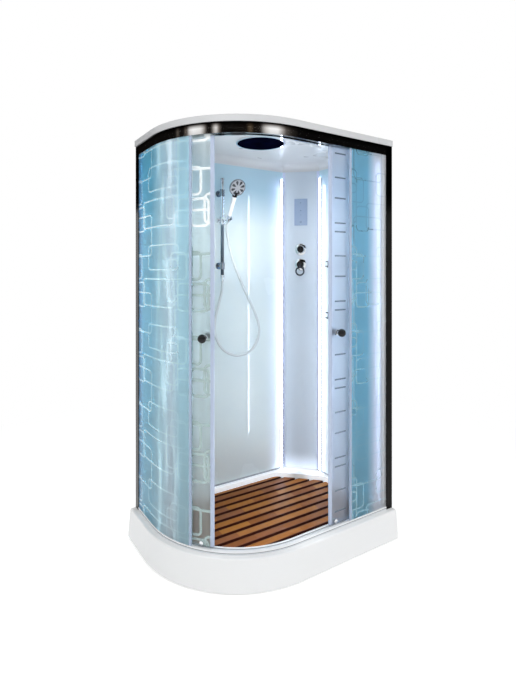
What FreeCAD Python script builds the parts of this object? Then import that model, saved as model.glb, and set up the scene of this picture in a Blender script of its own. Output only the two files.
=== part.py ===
"""Corner shower cabin with steam, 1200 x 800 mm, rounded front-left corner, two sliding doors.

Frame: millimetres, +Z up.  The origin is the centre of the footprint at floor level.
+X runs along the long back wall towards the corner of the room, +Y from the doors to the back wall.
The tray, rails and roof share one plan: straight at the front, a quarter circle, straight at the left.
"Inset" is the distance inwards from the tray's rim along that plan.
"""
import FreeCAD
import Part
import math
import os
import Sketcher
from FreeCAD import Placement, Rotation, Vector

doc = FreeCAD.newDocument("ShowerCabin")
sheet = doc.addObject("Spreadsheet::Sheet", "Sizes")

# ------------------------------------------------------------------ driving dimensions
DRIVING = [
    ("rim_length", 1200, "tray rim along the back wall"),
    ("rim_depth", 800, "tray rim along the side wall"),
    ("corner_radius", 550, "plan radius of the rim's round corner"),
    ("skirt_draft", 12, "the skirt's foot stands out past the rim by this"),
    ("skirt_lift", 4, "shadow gap under the skirt"),
    ("tray_height", 150, "ledge above the floor"),
    ("tray_wall", 6, "tray shell"),
    ("rim_round", 8, "radius of the rim's edge"),
    ("basin_inset", 78, "rim to basin wall on the free sides"),
    ("basin_margin", 25, "wall face to basin wall along the walls"),
    ("basin_depth", 55, "basin floor below the ledge"),
    ("rail_setback", 30, "rim to the rails' outer face"),
    ("rail_depth", 48, "rails, outer face to inner face"),
    ("rail_wall", 3, "wall of the rail sections"),
    ("low_rail_height", 16, "bottom rail"),
    ("top_rail_height", 52, "top rail"),
    ("glass", 5, "thickness of all curtain glass"),
    ("play", 0.6, "side play of a glass in its groove"),
    ("seat", 0.3, "gap at a seat"),
    ("door_setback", 26, "rails' inner face to the doors' outer face"),
    ("track_setback", 12, "rails' inner face to the track lip's outer face"),
    ("lip", 2, "thickness of the track lip"),
    ("lip_rise", 15, "track lip above the rail's edge"),
    ("track_overrun", 18, "degrees the round track runs past the plan's tangent point"),
    ("roof_top", 2150, "top of the roof"),
    ("roof_edge", 31, "height of the roof's rim"),
    ("roof_overhang", 6, "roof rim past the rails"),
    ("ceiling_drop", 13, "roof top to ceiling"),
    ("cove", 50, "radius of the cove along the walls"),
    ("wall_inset", 25, "back of the cabin to the walls' inner face"),
    ("wall_sheet", 6, "wall panel thickness"),
    ("wall_foot", 12, "ledge to the wall panels' lower edge"),
    ("profile_width", 44, "wall profile across the wall's end"),
    ("profile_depth", 24, "wall profile along the wall"),
    ("column_leg", 170, "corner to the column's edge along each wall"),
    ("trim_width", 18, "white strip at each side of the column"),
    ("column_sheet", 4, "column panel thickness"),
    ("left_edge", 212.4, "plan angle of the left fixed glass's free edge"),
    ("left_lead", 224.8, "plan angle of the left door's leading edge, open"),
    ("left_span", 61, "degrees of arc of the left door"),
    ("right_fixed", 265, "right wall profile to the right fixed glass's free edge"),
    ("right_lead", 215, "centre of the closed doors to the right door's edge, open"),
    ("right_span", 381, "width of the right door"),
    ("door_foot", 2, "bottom rail's edge to the door glass"),
    ("door_head", 11, "top rail's head to the door glass's upper edge"),
    ("seal_width", 18, "magnetic seal along the glass"),
    ("seal_wall", 1.5, "seal wall beside the glass"),
    ("wheel_radius", 11, "roller rim"),
    ("tread_radius", 9, "roller tread in its groove"),
    ("wheel_width", 8, "roller"),
    ("axle_radius", 2.5, "roller axle"),
    ("running", 0.06, "radial clearance of what turns on a pin"),
    ("knob_radius", 20.5, "door knob ball"),
    ("knob_height", 1130, "door knobs above the floor"),
    ("slat_width", 46, "duckboard slat"),
    ("slat_gap", 18, "gap between slats"),
    ("slat_thick", 20, "duckboard slat thickness"),
    ("board_top", 125, "top of the duckboard above the floor"),
    ("board_round", 60, "duckboard's back corners"),
    ("batten_width", 40, "duckboard batten"),
    ("frame_tube", 24, "square tube under the tray"),
    ("stud_radius", 6, "foot stud"),
    ("pad_radius", 20, "foot pad"),
    ("pad_height", 10, "foot pad"),
    ("waste_radius", 20, "waste spigot"),
    ("waste_level", 36, "waste spigot's axis above the floor"),
    ("riser_x", -66, "shower rail, from the cabin's centre"),
    ("riser_standoff", 50, "shower rail to wall face"),
    ("riser_radius", 10, "shower rail tube"),
    ("riser_drop", 98, "walls' upper edge to the head of the shower rail"),
    ("riser_length", 572, "shower rail"),
    ("slider_drop", 251, "head of the shower rail to the slider"),
    ("handset_tilt", 29, "degrees the handset leans forward"),
    ("handset_length", 190, "cradle to the centre of the spray head"),
    ("head_radius", 49, "spray head"),
    ("hose_radius", 7, "hose"),
    ("diverter_drop", 505, "walls' upper edge to the upper control"),
    ("control_pitch", 98, "upper control to the mixer below it"),
    ("plate_radius", 39, "round cover plates of both controls"),
    ("panel_drop", 263, "walls' upper edge to the control panel's centre"),
    ("panel_width", 84, "control panel"),
    ("panel_length", 173, "control panel"),
    ("shelf_upper", 1467, "upper shelf above the floor"),
    ("shelf_lower", 1154, "lower shelf above the floor"),
    ("shelf_depth", 80, "shelf, out from the wall"),
    ("shelf_length", 240, "shelf along the wall"),
    ("gallery", 32, "gallery rail above the shelf"),
    ("overhead_radius", 133, "ceiling shower with its rim"),
    ("overhead_face", 125, "dark face of the ceiling shower"),
    ("fan_radius", 58, "fan grille"),
    ("led_width", 18, "light strip channel"),
    ("led_depth", 9, "light strip channel off the wall"),
]


class Size:
    """A number with the spreadsheet expression it comes from."""

    def __init__(self, value, text):
        self.value = float(value)
        self.text = text

    def _join(self, other, sign, value):
        return Size(value, f"({self.text} {sign} {other.text})")

    def __add__(self, other):
        other = size(other)
        return self._join(other, "+", self.value + other.value)

    def __sub__(self, other):
        other = size(other)
        return self._join(other, "-", self.value - other.value)

    def __mul__(self, other):
        other = size(other)
        return self._join(other, "*", self.value * other.value)

    def __truediv__(self, other):
        other = size(other)
        return self._join(other, "/", self.value / other.value)

    def __rtruediv__(self, other):
        return size(other) / self

    def __radd__(self, other):
        return size(other) + self

    def __rsub__(self, other):
        return size(other) - self

    def __rmul__(self, other):
        return size(other) * self

    def __neg__(self):
        return Size(-self.value, f"(0 - {self.text})")

    def __float__(self):
        return self.value


def size(number):
    return number if isinstance(number, Size) else Size(number, f"({float(number):.6f})")


def cosine(degrees):
    degrees = size(degrees)
    return Size(math.cos(math.radians(degrees.value)), f"cos({degrees.text} * 1 deg)")


def sine(degrees):
    degrees = size(degrees)
    return Size(math.sin(math.radians(degrees.value)), f"sin({degrees.text} * 1 deg)")


class Sizes:
    """Named values of the sheet."""


s = Sizes()
for row, (name, number, meaning) in enumerate(DRIVING, start=1):
    sheet.set(f"A{row}", name)
    sheet.set(f"B{row}", str(number))
    sheet.set(f"C{row}", meaning)
    sheet.setAlias(f"B{row}", name)
    setattr(s, name, Size(number, f"Sizes.{name}"))
doc.recompute()

# ------------------------------------------------------------------ places worked out from them
X_RIGHT = (s.rim_length + s.skirt_draft) / 2
Y_BACK = (s.rim_depth + s.skirt_draft) / 2
X_LEFT = s.skirt_draft - X_RIGHT
Y_FRONT = s.skirt_draft - Y_BACK
CX = X_LEFT + s.corner_radius
CY = Y_FRONT + s.corner_radius
WALL_A = Y_BACK - s.wall_inset
WALL_B = X_RIGHT - s.wall_inset
RAIL_HEAD = s.roof_top - s.roof_edge
RAIL_SILL = RAIL_HEAD - s.top_rail_height
LOW_RAIL_HEAD = s.tray_height + s.low_rail_height
PANEL_FOOT = s.tray_height + s.wall_foot
CEILING = s.roof_top - s.ceiling_drop
WALL_HEAD = CEILING - s.cove
BASIN_FLOOR = s.tray_height - s.basin_depth
RAIL_INNER = s.rail_setback + s.rail_depth
GROOVE = s.rail_setback + s.rail_wall
GLASS_IN = GROOVE + s.play
GROOVE_END = GLASS_IN + s.glass + s.play
PROFILE_X = X_RIGHT - s.profile_width
PROFILE_Y = Y_BACK - s.profile_width
COLUMN_X = WALL_B - s.column_leg
COLUMN_Y = WALL_A - s.column_leg
COLUMN_WIDTH = s.column_leg * math.sqrt(2)
COLUMN_MID = COLUMN_WIDTH / 2
DOOR_FACE = RAIL_INNER - s.door_setback
DOOR_BACK = DOOR_FACE + s.glass
DOOR_FOOT = LOW_RAIL_HEAD + s.door_foot
DOOR_HEAD = RAIL_HEAD - s.door_head
TRACK = RAIL_INNER - s.track_setback
RISER_HEAD = WALL_HEAD - s.riser_drop
RISER_FOOT = RISER_HEAD - s.riser_length
SLIDER = RISER_HEAD - s.slider_drop
DIVERTER = WALL_HEAD - s.diverter_drop
MIXER = DIVERTER - s.control_pitch
BIG = 3000

nodes = {}


# ------------------------------------------------------------------ helpers
def bind(obj, prop, number):
    obj.setExpression(prop, size(number).text)


def place(obj, x, y, z, rotation=None):
    obj.Placement = Placement(Vector(float(x), float(y), float(z)), rotation or Rotation())
    for axis, number in (("x", x), ("y", y), ("z", z)):
        bind(obj, f"Placement.Base.{axis}", number)
    return obj


def new(kind, name):
    return doc.addObject(kind, name)


def box(x0, y0, z0, x1, y1, z1, name="Block"):
    obj = new("Part::Box", name)
    x0, y0, z0, x1, y1, z1 = (size(n) for n in (x0, y0, z0, x1, y1, z1))
    bind(obj, "Length", x1 - x0)
    bind(obj, "Width", y1 - y0)
    bind(obj, "Height", z1 - z0)
    return place(obj, x0, y0, z0)


AXES = {
    "+z": Rotation(),
    "-z": Rotation(Vector(1, 0, 0), 180),
    "+y": Rotation(Vector(1, 0, 0), -90),
    "-y": Rotation(Vector(1, 0, 0), 90),
    "+x": Rotation(Vector(0, 1, 0), 90),
    "-x": Rotation(Vector(0, 1, 0), -90),
}


def cylinder(radius, length, x, y, z, axis="+z", name="Round"):
    obj = new("Part::Cylinder", name)
    bind(obj, "Radius", radius)
    bind(obj, "Height", length)
    rotation = AXES[axis] if isinstance(axis, str) else axis
    return place(obj, x, y, z, rotation)


def cone(r1, r2, length, x, y, z, axis="+z", name="Taper"):
    obj = new("Part::Cone", name)
    bind(obj, "Radius1", r1)
    bind(obj, "Radius2", r2)
    bind(obj, "Height", length)
    rotation = AXES[axis] if isinstance(axis, str) else axis
    return place(obj, x, y, z, rotation)


def sphere(radius, x, y, z):
    obj = new("Part::Sphere", "Ball")
    bind(obj, "Radius", radius)
    return place(obj, x, y, z)


def torus(major, minor, x, y, z, rotation=None):
    obj = new("Part::Torus", "Ring")
    bind(obj, "Radius1", major)
    bind(obj, "Radius2", minor)
    return place(obj, x, y, z, rotation)


def fuse(parts, name="Joined"):
    if len(parts) == 1:
        return parts[0]
    obj = new("Part::MultiFuse", name)
    obj.Shapes = parts
    return obj


def group(parts, name="Set"):
    obj = new("Part::Compound", name)
    obj.Links = parts
    return obj


def cut(base, tools, name="Cut"):
    obj = new("Part::Cut", name)
    obj.Base = base
    obj.Tool = fuse(tools)
    return obj


def common(parts, name="Overlap"):
    obj = new("Part::MultiCommon", name)
    obj.Shapes = parts
    return obj


def node(label, obj):
    obj.Label = label
    nodes[label] = obj
    return obj


# ------------------------------------------------------------------ outlines as constrained sketches
# A loop is a list of segments: ("line", start, end) or ("arc", centre, radius, from_deg, to_deg),
# or the one segment ("circle", centre, radius).
def fix_point(sketch, geometry, end, point, axes="xy"):
    for axis in axes:
        number = size(point["xy".index(axis)])
        kind = "DistanceX" if axis == "x" else "DistanceY"
        index = sketch.addConstraint(Sketcher.Constraint(kind, -1, 1, geometry, end, number.value))
        sketch.setExpression(f"Constraints[{index}]", number.text)


def arc_point(centre, radius, degrees):
    return (centre[0] + radius * cosine(degrees), centre[1] + radius * sine(degrees))


def segment_ends(segment):
    if segment[0] == "line":
        return segment[1], segment[2]
    centre, radius, start, stop = segment[1:5]
    return arc_point(centre, radius, start), arc_point(centre, radius, stop)


def add_circle(sketch, centre, radius):
    circle = Part.Circle(Vector(float(centre[0]), float(centre[1]), 0), Vector(0, 0, 1), float(radius))
    geometry = sketch.addGeometry(circle)
    fix_point(sketch, geometry, 3, centre)
    index = sketch.addConstraint(Sketcher.Constraint("Radius", geometry, float(radius)))
    sketch.setExpression(f"Constraints[{index}]", size(radius).text)


def add_loop(sketch, loop):
    if loop[0][0] == "circle":
        add_circle(sketch, loop[0][1], loop[0][2])
        return
    first = sketch.GeometryCount
    for segment in loop:
        if segment[0] == "line":
            a, b = (Vector(float(p[0]), float(p[1]), 0) for p in segment[1:3])
            sketch.addGeometry(Part.LineSegment(a, b))
        else:
            centre, radius, start, stop = segment[1:5]
            low, high = sorted((float(start), float(stop)))
            middle = Vector(float(centre[0]), float(centre[1]), 0)
            circle = Part.Circle(middle, Vector(0, 0, 1), float(radius))
            sketch.addGeometry(Part.ArcOfCircle(circle, math.radians(low), math.radians(high)))
    for step, segment in enumerate(loop):
        geometry = first + step
        following = first + (step + 1) % len(loop)
        backwards = segment[0] == "arc" and float(segment[3]) > float(segment[4])
        after = loop[(step + 1) % len(loop)]
        after_backwards = after[0] == "arc" and float(after[3]) > float(after[4])
        stop_end = 1 if backwards else 2
        start_end = 2 if after_backwards else 1
        sketch.addConstraint(Sketcher.Constraint("Coincident", geometry, stop_end, following, start_end))
        if segment[0] == "arc":
            centre, radius, start, stop = segment[1:5]
            fix_point(sketch, geometry, 3, centre)
            index = sketch.addConstraint(Sketcher.Constraint("Radius", geometry, float(radius)))
            sketch.setExpression(f"Constraints[{index}]", size(radius).text)
            for degrees, end in ((start, 3 - stop_end), (stop, stop_end)):
                upright = abs(math.cos(math.radians(float(degrees)))) > 0.7072
                fix_point(sketch, geometry, end, arc_point(centre, radius, degrees), "y" if upright else "x")
        else:
            before = loop[step - 1]
            if before[0] == "line":
                fix_point(sketch, geometry, 1, segment[1])


def extrusion(loops, z0, z1, name="Slab"):
    z0, z1 = size(z0), size(z1)
    sketch = new("Sketcher::SketchObject", name + "Outline")
    for loop in loops:
        add_loop(sketch, loop)
    place(sketch, 0, 0, z0)
    solid = new("Part::Extrusion", name)
    solid.Base = sketch
    solid.DirMode = "Custom"
    solid.Dir = Vector(0, 0, 1)
    solid.Solid = True
    bind(solid, "LengthFwd", z1 - z0)
    return solid


def polygon(points):
    return [("line", points[i], points[(i + 1) % len(points)]) for i in range(len(points))]


def plan_loop(inset, x_end=None, y_end=None):
    """The whole plan, inset on its free sides."""
    x_end, y_end = x_end or X_RIGHT, y_end or Y_BACK
    return [
        ("line", (x_end, y_end), (X_LEFT + inset, y_end)),
        ("line", (X_LEFT + inset, y_end), (X_LEFT + inset, CY)),
        ("arc", (CX, CY), s.corner_radius - inset, 180, 270),
        ("line", (CX, Y_FRONT + inset), (x_end, Y_FRONT + inset)),
        ("line", (x_end, Y_FRONT + inset), (x_end, y_end)),
    ]


def band_loop(outer, inner, x_end, y_end):
    """The strip between two insets, from the left wall profile round to the right one."""
    return [
        ("line", (X_LEFT + outer, y_end), (X_LEFT + outer, CY)),
        ("arc", (CX, CY), s.corner_radius - outer, 180, 270),
        ("line", (CX, Y_FRONT + outer), (x_end, Y_FRONT + outer)),
        ("line", (x_end, Y_FRONT + outer), (x_end, Y_FRONT + inner)),
        ("line", (x_end, Y_FRONT + inner), (CX, Y_FRONT + inner)),
        ("arc", (CX, CY), s.corner_radius - inner, 270, 180),
        ("line", (X_LEFT + inner, CY), (X_LEFT + inner, y_end)),
        ("line", (X_LEFT + inner, y_end), (X_LEFT + outer, y_end)),
    ]


def sector_loop(outer, inner, start, stop):
    """A piece of ring about the plan's centre, between two insets and two angles."""
    far, near = s.corner_radius - outer, s.corner_radius - inner
    centre = (CX, CY)
    return [
        ("arc", centre, far, start, stop),
        ("line", arc_point(centre, far, stop), arc_point(centre, near, stop)),
        ("arc", centre, near, stop, start),
        ("line", arc_point(centre, near, start), arc_point(centre, far, start)),
    ]


def track_loop(outer, inner, x_end):
    """The doors' track: the full circle past the tangent point, then straight along the front."""
    start = 180 - s.track_overrun
    far, near = s.corner_radius - outer, s.corner_radius - inner
    centre = (CX, CY)
    return [
        ("arc", centre, far, start, 270),
        ("line", (CX, Y_FRONT + outer), (x_end, Y_FRONT + outer)),
        ("line", (x_end, Y_FRONT + outer), (x_end, Y_FRONT + inner)),
        ("line", (x_end, Y_FRONT + inner), (CX, Y_FRONT + inner)),
        ("arc", centre, near, 270, start),
        ("line", arc_point(centre, near, start), arc_point(centre, far, start)),
    ]


# ------------------------------------------------------------------ tray
def plan_body(label):
    body = new("PartDesign::Body", label + "Body")
    body.Label = label
    return body


def body_sketch(body, loops, level, name):
    sketch = body.newObject("Sketcher::SketchObject", name)
    plane = [f for f in body.Origin.OriginFeatures if f.Role == "XY_Plane"][0]
    sketch.AttachmentSupport = [(plane, "")]
    sketch.MapMode = "FlatFace"
    for loop in loops:
        add_loop(sketch, loop)
    sketch.AttachmentOffset = Placement(Vector(0, 0, float(level)), Rotation())
    bind(sketch, "AttachmentOffset.Base.z", level)
    return sketch


def body_pad(body, loops, level, height, name):
    pad = body.newObject("PartDesign::Pad", name)
    pad.Profile = body_sketch(body, loops, level, name + "Outline")
    bind(pad, "Length", height)
    return pad


def body_pocket(body, loops, level, depth, name):
    """Cuts downwards from level; the caller checks that material went."""
    pocket = body.newObject("PartDesign::Pocket", name)
    pocket.Profile = body_sketch(body, loops, level, name + "Outline")
    bind(pocket, "Length", depth)
    return pocket


def body_round(body, keep, radius, name):
    """Fillets the edges of the tip's shape for which keep(edge) holds."""
    doc.recompute()
    base = body.Tip
    names = [f"Edge{i}" for i, edge in enumerate(base.Shape.Edges, start=1) if keep(edge)]
    fillet = body.newObject("PartDesign::Fillet", name)
    fillet.Base = (base, names)
    bind(fillet, "Radius", radius)
    return fillet


def basin_loop(inset, margin, diagonal_margin, rounding):
    """Free sides by inset, walls by margin, the corner cut off along the column."""
    x, y = WALL_B - margin, WALL_A - margin
    total = COLUMN_X + WALL_A - diagonal_margin * math.sqrt(2)
    tangent = rounding * math.tan(math.radians(22.5))
    half = tangent / math.sqrt(2)
    corner_b = (total - y, y)
    corner_c = (x, total - x)
    left, front = X_LEFT + inset, Y_FRONT + inset
    return [
        ("line", (corner_b[0] - tangent, y), (left + rounding, y)),
        ("arc", (left + rounding, y - rounding), rounding, 90, 180),
        ("line", (left, y - rounding), (left, CY)),
        ("arc", (CX, CY), s.corner_radius - inset, 180, 270),
        ("line", (CX, front), (x - rounding, front)),
        ("arc", (x - rounding, front + rounding), rounding, 270, 360),
        ("line", (x, front + rounding), (x, corner_c[1] - tangent)),
        ("arc", (x - rounding, corner_c[1] - tangent), rounding, 0, 45),
        ("line", (corner_c[0] - half, corner_c[1] + half), (corner_b[0] + half, corner_b[1] - half)),
        ("arc", (corner_b[0] - tangent, y - rounding), rounding, 45, 90),
    ]


WASTE_X, WASTE_Y = X_LEFT + 394, Y_BACK - 266
WASTE_BORE = 30
SPIGOT = 56


def make_tray():
    body = plan_body("tray_shell")
    loft = body.newObject("PartDesign::AdditiveLoft", "Skirt")
    shoulder = s.tray_height - s.rim_round - 0.1
    foot = body_sketch(body, [plan_loop(-s.skirt_draft)], s.skirt_lift, "FootOutline")
    rim = body_sketch(body, [plan_loop(size(0))], shoulder, "RimOutline")
    loft.Profile = foot
    loft.Sections = [rim]
    loft.Ruled = True
    doc.recompute()
    body_pad(body, [plan_loop(size(0))], shoulder, s.tray_height - shoulder, "Rim")
    edge_z = s.tray_height.value
    body_round(body, lambda e: all(abs(v.Z - edge_z) < 0.01 for v in e.Vertexes) and free_side(e),
               s.rim_round, "RimRound")
    inner = s.tray_wall
    body_pocket(body, [basin_loop(s.basin_inset, s.basin_margin, 70, s.board_round)],
                s.tray_height, s.basin_depth, "Basin")
    shell = plan_loop(inner, X_RIGHT - inner, Y_BACK - inner)
    basin_wall = basin_loop(s.basin_inset - inner, s.basin_margin - inner, 70 - inner, s.board_round)
    body_pocket(body, [shell, basin_wall], s.tray_height - inner, s.basin_depth, "Under")
    floor_under = BASIN_FLOOR - inner
    body_pocket(body, [shell], floor_under, floor_under, "Hollow")
    waste = [("circle", (WASTE_X, WASTE_Y), size(WASTE_BORE))]
    body_pocket(body, [waste], s.tray_height, s.tray_height, "WasteHole")
    notch = polygon([(WASTE_X - 45, Y_BACK - 30), (WASTE_X + 45, Y_BACK - 30),
                     (WASTE_X + 45, Y_BACK + 10), (WASTE_X - 45, Y_BACK + 10)])
    body_pocket(body, [notch], s.waste_level + 40, s.waste_level + 40, "ServiceNotch")
    nodes["tray_shell"] = body


def free_side(edge):
    middle = edge.valueAt((edge.FirstParameter + edge.LastParameter) / 2)
    return middle.x < X_RIGHT.value - 1 and middle.y < Y_BACK.value - 1


FOOT_LEFT, FOOT_MIDDLE, FOOT_RIGHT = X_LEFT + 264, size(60), X_RIGHT - 106
FOOT_BACK, FOOT_CURVE, FOOT_FRONT = Y_BACK - 106, Y_FRONT + 234, Y_FRONT + 164
FEET = [(FOOT_LEFT, FOOT_BACK), (FOOT_MIDDLE, FOOT_BACK), (FOOT_RIGHT, FOOT_BACK),
        (FOOT_LEFT, FOOT_CURVE), (FOOT_MIDDLE, FOOT_FRONT), (FOOT_RIGHT, FOOT_FRONT)]


def make_support():
    half = s.frame_tube / 2
    high = BASIN_FLOOR - s.tray_wall - s.seat
    low = high - s.frame_tube
    left, right = FOOT_LEFT - 70, FOOT_RIGHT + 40
    runs = []
    for y, x0 in ((FOOT_BACK, left), (FOOT_BACK - 320, left), (FOOT_FRONT, FOOT_MIDDLE - 60)):
        runs.append(box(x0, y - half, low, right, y + half, high, "LongTube"))
    for x, y0 in ((FOOT_LEFT, FOOT_CURVE - 30), (FOOT_MIDDLE, FOOT_FRONT), (FOOT_RIGHT, FOOT_FRONT)):
        runs.append(box(x - half, y0, low, x + half, FOOT_BACK, high, "CrossTube"))
    holes = [cylinder(s.stud_radius + 0.5, 60, x, y, 40) for x, y in FEET]
    node("support_frame", cut(fuse(runs), holes))
    studs, pads, nuts = [], [], []
    for x, y in FEET:
        studs.append(cylinder(s.stud_radius, high - s.pad_height + 4, x, y, s.pad_height - 4 + 0.3))
        pad = cone(s.pad_radius, s.pad_radius - 5, s.pad_height, x, y, 0)
        pads.append(cut(pad, [cylinder(s.stud_radius + 0.2, s.pad_height, x, y, s.pad_height - 4)]))
        blank = nut(10, 8, x, y, low - 8 - s.seat)
        nuts.append(cut(blank, [cylinder(s.stud_radius + 0.2, 20, x, y, low - 15)]))
    node("foot_screws", group(studs + nuts))
    node("foot_pads", group(pads))


def nut(radius, height, x, y, z):
    obj = new("Part::Prism", "Hexagon")
    obj.Polygon = 6
    bind(obj, "Circumradius", radius)
    bind(obj, "Height", height)
    return place(obj, x, y, z)


def make_drain():
    x, y = WASTE_X, WASTE_Y
    flange = cylinder(42, 2, x, y, BASIN_FLOOR + s.seat)
    neck = cylinder(WASTE_BORE - 0.5, 14, x, y, BASIN_FLOOR - 12)
    sump = s.waste_level - s.waste_radius - 4
    cup = cylinder(44, BASIN_FLOOR - s.tray_wall - s.seat - 0.2 - sump, x, y, sump)
    shoulder = Y_BACK - 6 - SPIGOT
    spout = cylinder(s.waste_radius + 2, shoulder - y, x, y, s.waste_level, "+y")
    spigot = cylinder(s.waste_radius, SPIGOT, x, shoulder, s.waste_level, "+y")
    shell = fuse([flange, neck, cup, spout, spigot])
    inside = [cylinder(26, 60, x, y, s.waste_level),
              cylinder(40, s.waste_radius + 34, x, y, sump + 4),
              cylinder(s.waste_radius - 2, Y_BACK, x, y, s.waste_level, "+y")]
    node("drain_body", cut(shell, inside))
    plate = cylinder(38, 3, x, y, BASIN_FLOOR + s.seat + 2.3)
    slots = []
    for k in range(-2, 3):
        slots.append(box(x - 26, y + k * 9 - 2, BASIN_FLOOR, x + 26, y + k * 9 + 2, s.tray_height))
    node("drain_grid", cut(plate, slots))


# ------------------------------------------------------------------ duckboard
FIRST_GAP = 33


def make_duckboard():
    inset = s.basin_inset + 4
    low = s.board_top - s.slat_thick
    outline = basin_loop(inset, s.basin_margin + 4, 74, s.board_round)
    board = extrusion([outline], low, s.board_top, "Board")
    pitch = s.slat_width + s.slat_gap
    top_y = WALL_A - s.basin_margin - 4
    gaps = []
    for k in range(10):
        middle = top_y - FIRST_GAP - pitch * k
        y0, y1 = middle - s.slat_gap / 2, middle + s.slat_gap / 2
        gaps.append(box(X_LEFT, y0, low - 1, X_RIGHT, y1, s.board_top + 1))
    # The round track's end reaches over the board's left edge, and the slat under it is notched to lift past.
    track_end = sector_loop(s.rail_setback, RAIL_INNER + 3, 178 - s.track_overrun, 180)
    notch = extrusion([track_end], low - 1, s.board_top + 1, "TrackNotch")
    node("duckboard_slats", cut(board, gaps + [notch]))
    battens = []
    half = s.batten_width / 2
    for x, y0, y1 in ((CX - 256, Y_FRONT + 199, top_y - 7),
                      (CX + 104, Y_FRONT + inset + 8, top_y - 7),
                      (COLUMN_X + 19, Y_FRONT + inset + 8, WALL_A - 166)):
        battens.append(box(x - half, y0, BASIN_FLOOR + s.seat, x + half, y1, low))
    node("duckboard_battens", group(battens))


# ------------------------------------------------------------------ rails, wall profiles
def make_rails():
    x_end, y_end = PROFILE_X, PROFILE_Y
    wall = s.rail_wall
    lip_in = TRACK + s.lip

    def channel(web_low, web_high, wall_low, wall_high, lip_low, lip_high):
        web = band_loop(s.rail_setback, RAIL_INNER, x_end, y_end)
        overrun = sector_loop(s.rail_setback + 15, RAIL_INNER, 180 - s.track_overrun, 190)
        face = band_loop(s.rail_setback, GROOVE, x_end, y_end)
        middle = band_loop(GROOVE_END, GROOVE_END + wall, x_end, y_end)
        return [extrusion([web], web_low, web_high, "Web"),
                extrusion([overrun], web_low, web_high, "Overrun"),
                extrusion([face], wall_low, wall_high, "Face"),
                extrusion([middle], wall_low, wall_high, "Middle"),
                extrusion([track_loop(TRACK, lip_in, x_end)], lip_low, lip_high, "Lip")]

    inner = track_loop(RAIL_INNER - wall, RAIL_INNER, x_end)
    floor = track_loop(TRACK, RAIL_INNER - wall, x_end)
    under = RAIL_HEAD - wall
    top = channel(under, RAIL_HEAD, RAIL_SILL, under, RAIL_SILL, RAIL_SILL + s.lip_rise)
    top.append(extrusion([inner], RAIL_SILL, under, "Inner"))
    top.append(extrusion([floor], RAIL_SILL, RAIL_SILL + wall, "Floor"))
    node("rail_top", fuse(top))
    low = s.tray_height
    bottom = channel(low, low + wall, low + wall, LOW_RAIL_HEAD, low + wall, LOW_RAIL_HEAD - 2)
    bottom.append(extrusion([inner], low + wall, LOW_RAIL_HEAD - 6, "Inner"))
    node("rail_bottom", fuse(bottom))


def make_wall_profiles():
    low, high = s.tray_height, RAIL_HEAD - s.seat
    gap0, gap1 = GROOVE, GROOVE_END
    deep = 16
    outer, inner = s.rail_setback, s.rail_setback + s.profile_depth
    left = box(X_LEFT + outer, PROFILE_Y, low, X_LEFT + inner, Y_BACK, high)
    left_cuts = [box(X_LEFT + gap0, PROFILE_Y - 1, low - 1, X_LEFT + gap1, PROFILE_Y + deep, high + 1),
                 box(X_LEFT + gap0, PROFILE_Y + deep + 3, low - 1, X_LEFT + inner - 3, Y_BACK - 3, high + 1)]
    node("wall_profile_left", cut(left, left_cuts))
    right = box(PROFILE_X, Y_FRONT + outer, low, X_RIGHT, Y_FRONT + inner, high)
    right_cuts = [box(PROFILE_X - 1, Y_FRONT + gap0, low - 1, PROFILE_X + deep, Y_FRONT + gap1, high + 1),
                  box(PROFILE_X + deep + 3, Y_FRONT + gap0, low - 1,
                      X_RIGHT - 3, Y_FRONT + inner - 3, high + 1)]
    node("wall_profile_right", cut(right, right_cuts))


# ------------------------------------------------------------------ fixed glass
RIGHT_FREE = PROFILE_X - s.right_fixed


def make_fixed_glass():
    low, high = s.tray_height + s.rail_wall + s.seat, RAIL_HEAD - s.rail_wall - s.seat
    a, b = GLASS_IN, GLASS_IN + s.glass
    far, near = s.corner_radius - a, s.corner_radius - b
    end = s.left_edge
    y_end = PROFILE_Y + 15
    loop = [
        ("line", (X_LEFT + a, y_end), (X_LEFT + a, CY)),
        ("arc", (CX, CY), far, 180, end),
        ("line", arc_point((CX, CY), far, end), arc_point((CX, CY), near, end)),
        ("arc", (CX, CY), near, end, 180),
        ("line", (X_LEFT + b, CY), (X_LEFT + b, y_end)),
        ("line", (X_LEFT + b, y_end), (X_LEFT + a, y_end)),
    ]
    node("glass_left_fixed", extrusion([loop], low, high, "LeftGlass"))
    node("glass_right_fixed", box(RIGHT_FREE, Y_FRONT + a, low, PROFILE_X + 15, Y_FRONT + b, high))
    seal_low, seal_high = LOW_RAIL_HEAD + 1, RAIL_SILL - 1
    wall, wide = s.seal_wall, 11
    step = 180 / math.pi / s.corner_radius
    slack = size(0.2)
    left = extrusion([sector_loop(a - wall - slack, b + wall + slack, end - wide * step, end + 2 * step)],
                     seal_low, seal_high, "LeftSeal")
    left_slot = extrusion([sector_loop(a - slack, b + slack, end - (wide + 2) * step, end + 0.3 * step)],
                          seal_low - 1, seal_high + 1, "LeftSlot")
    y0, y1 = Y_FRONT + a - slack, Y_FRONT + b + slack
    right = box(RIGHT_FREE - 2, y0 - wall, seal_low, RIGHT_FREE + wide, y1 + wall, seal_high)
    right_slot = box(RIGHT_FREE - 0.3, y0, seal_low - 1, RIGHT_FREE + wide + 2, y1, seal_high + 1)
    node("fixed_seals", group([cut(left, [left_slot]), cut(right, [right_slot])]))


# ------------------------------------------------------------------ doors
CARRIER_LOW = 180
CARRIER_EDGE = 62
BOLT = 4
BOLT_HEAD = (DOOR_FACE - GROOVE_END - s.rail_wall) / 2 + 0.1
DOOR_MID = DOOR_FACE + s.glass / 2


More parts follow.
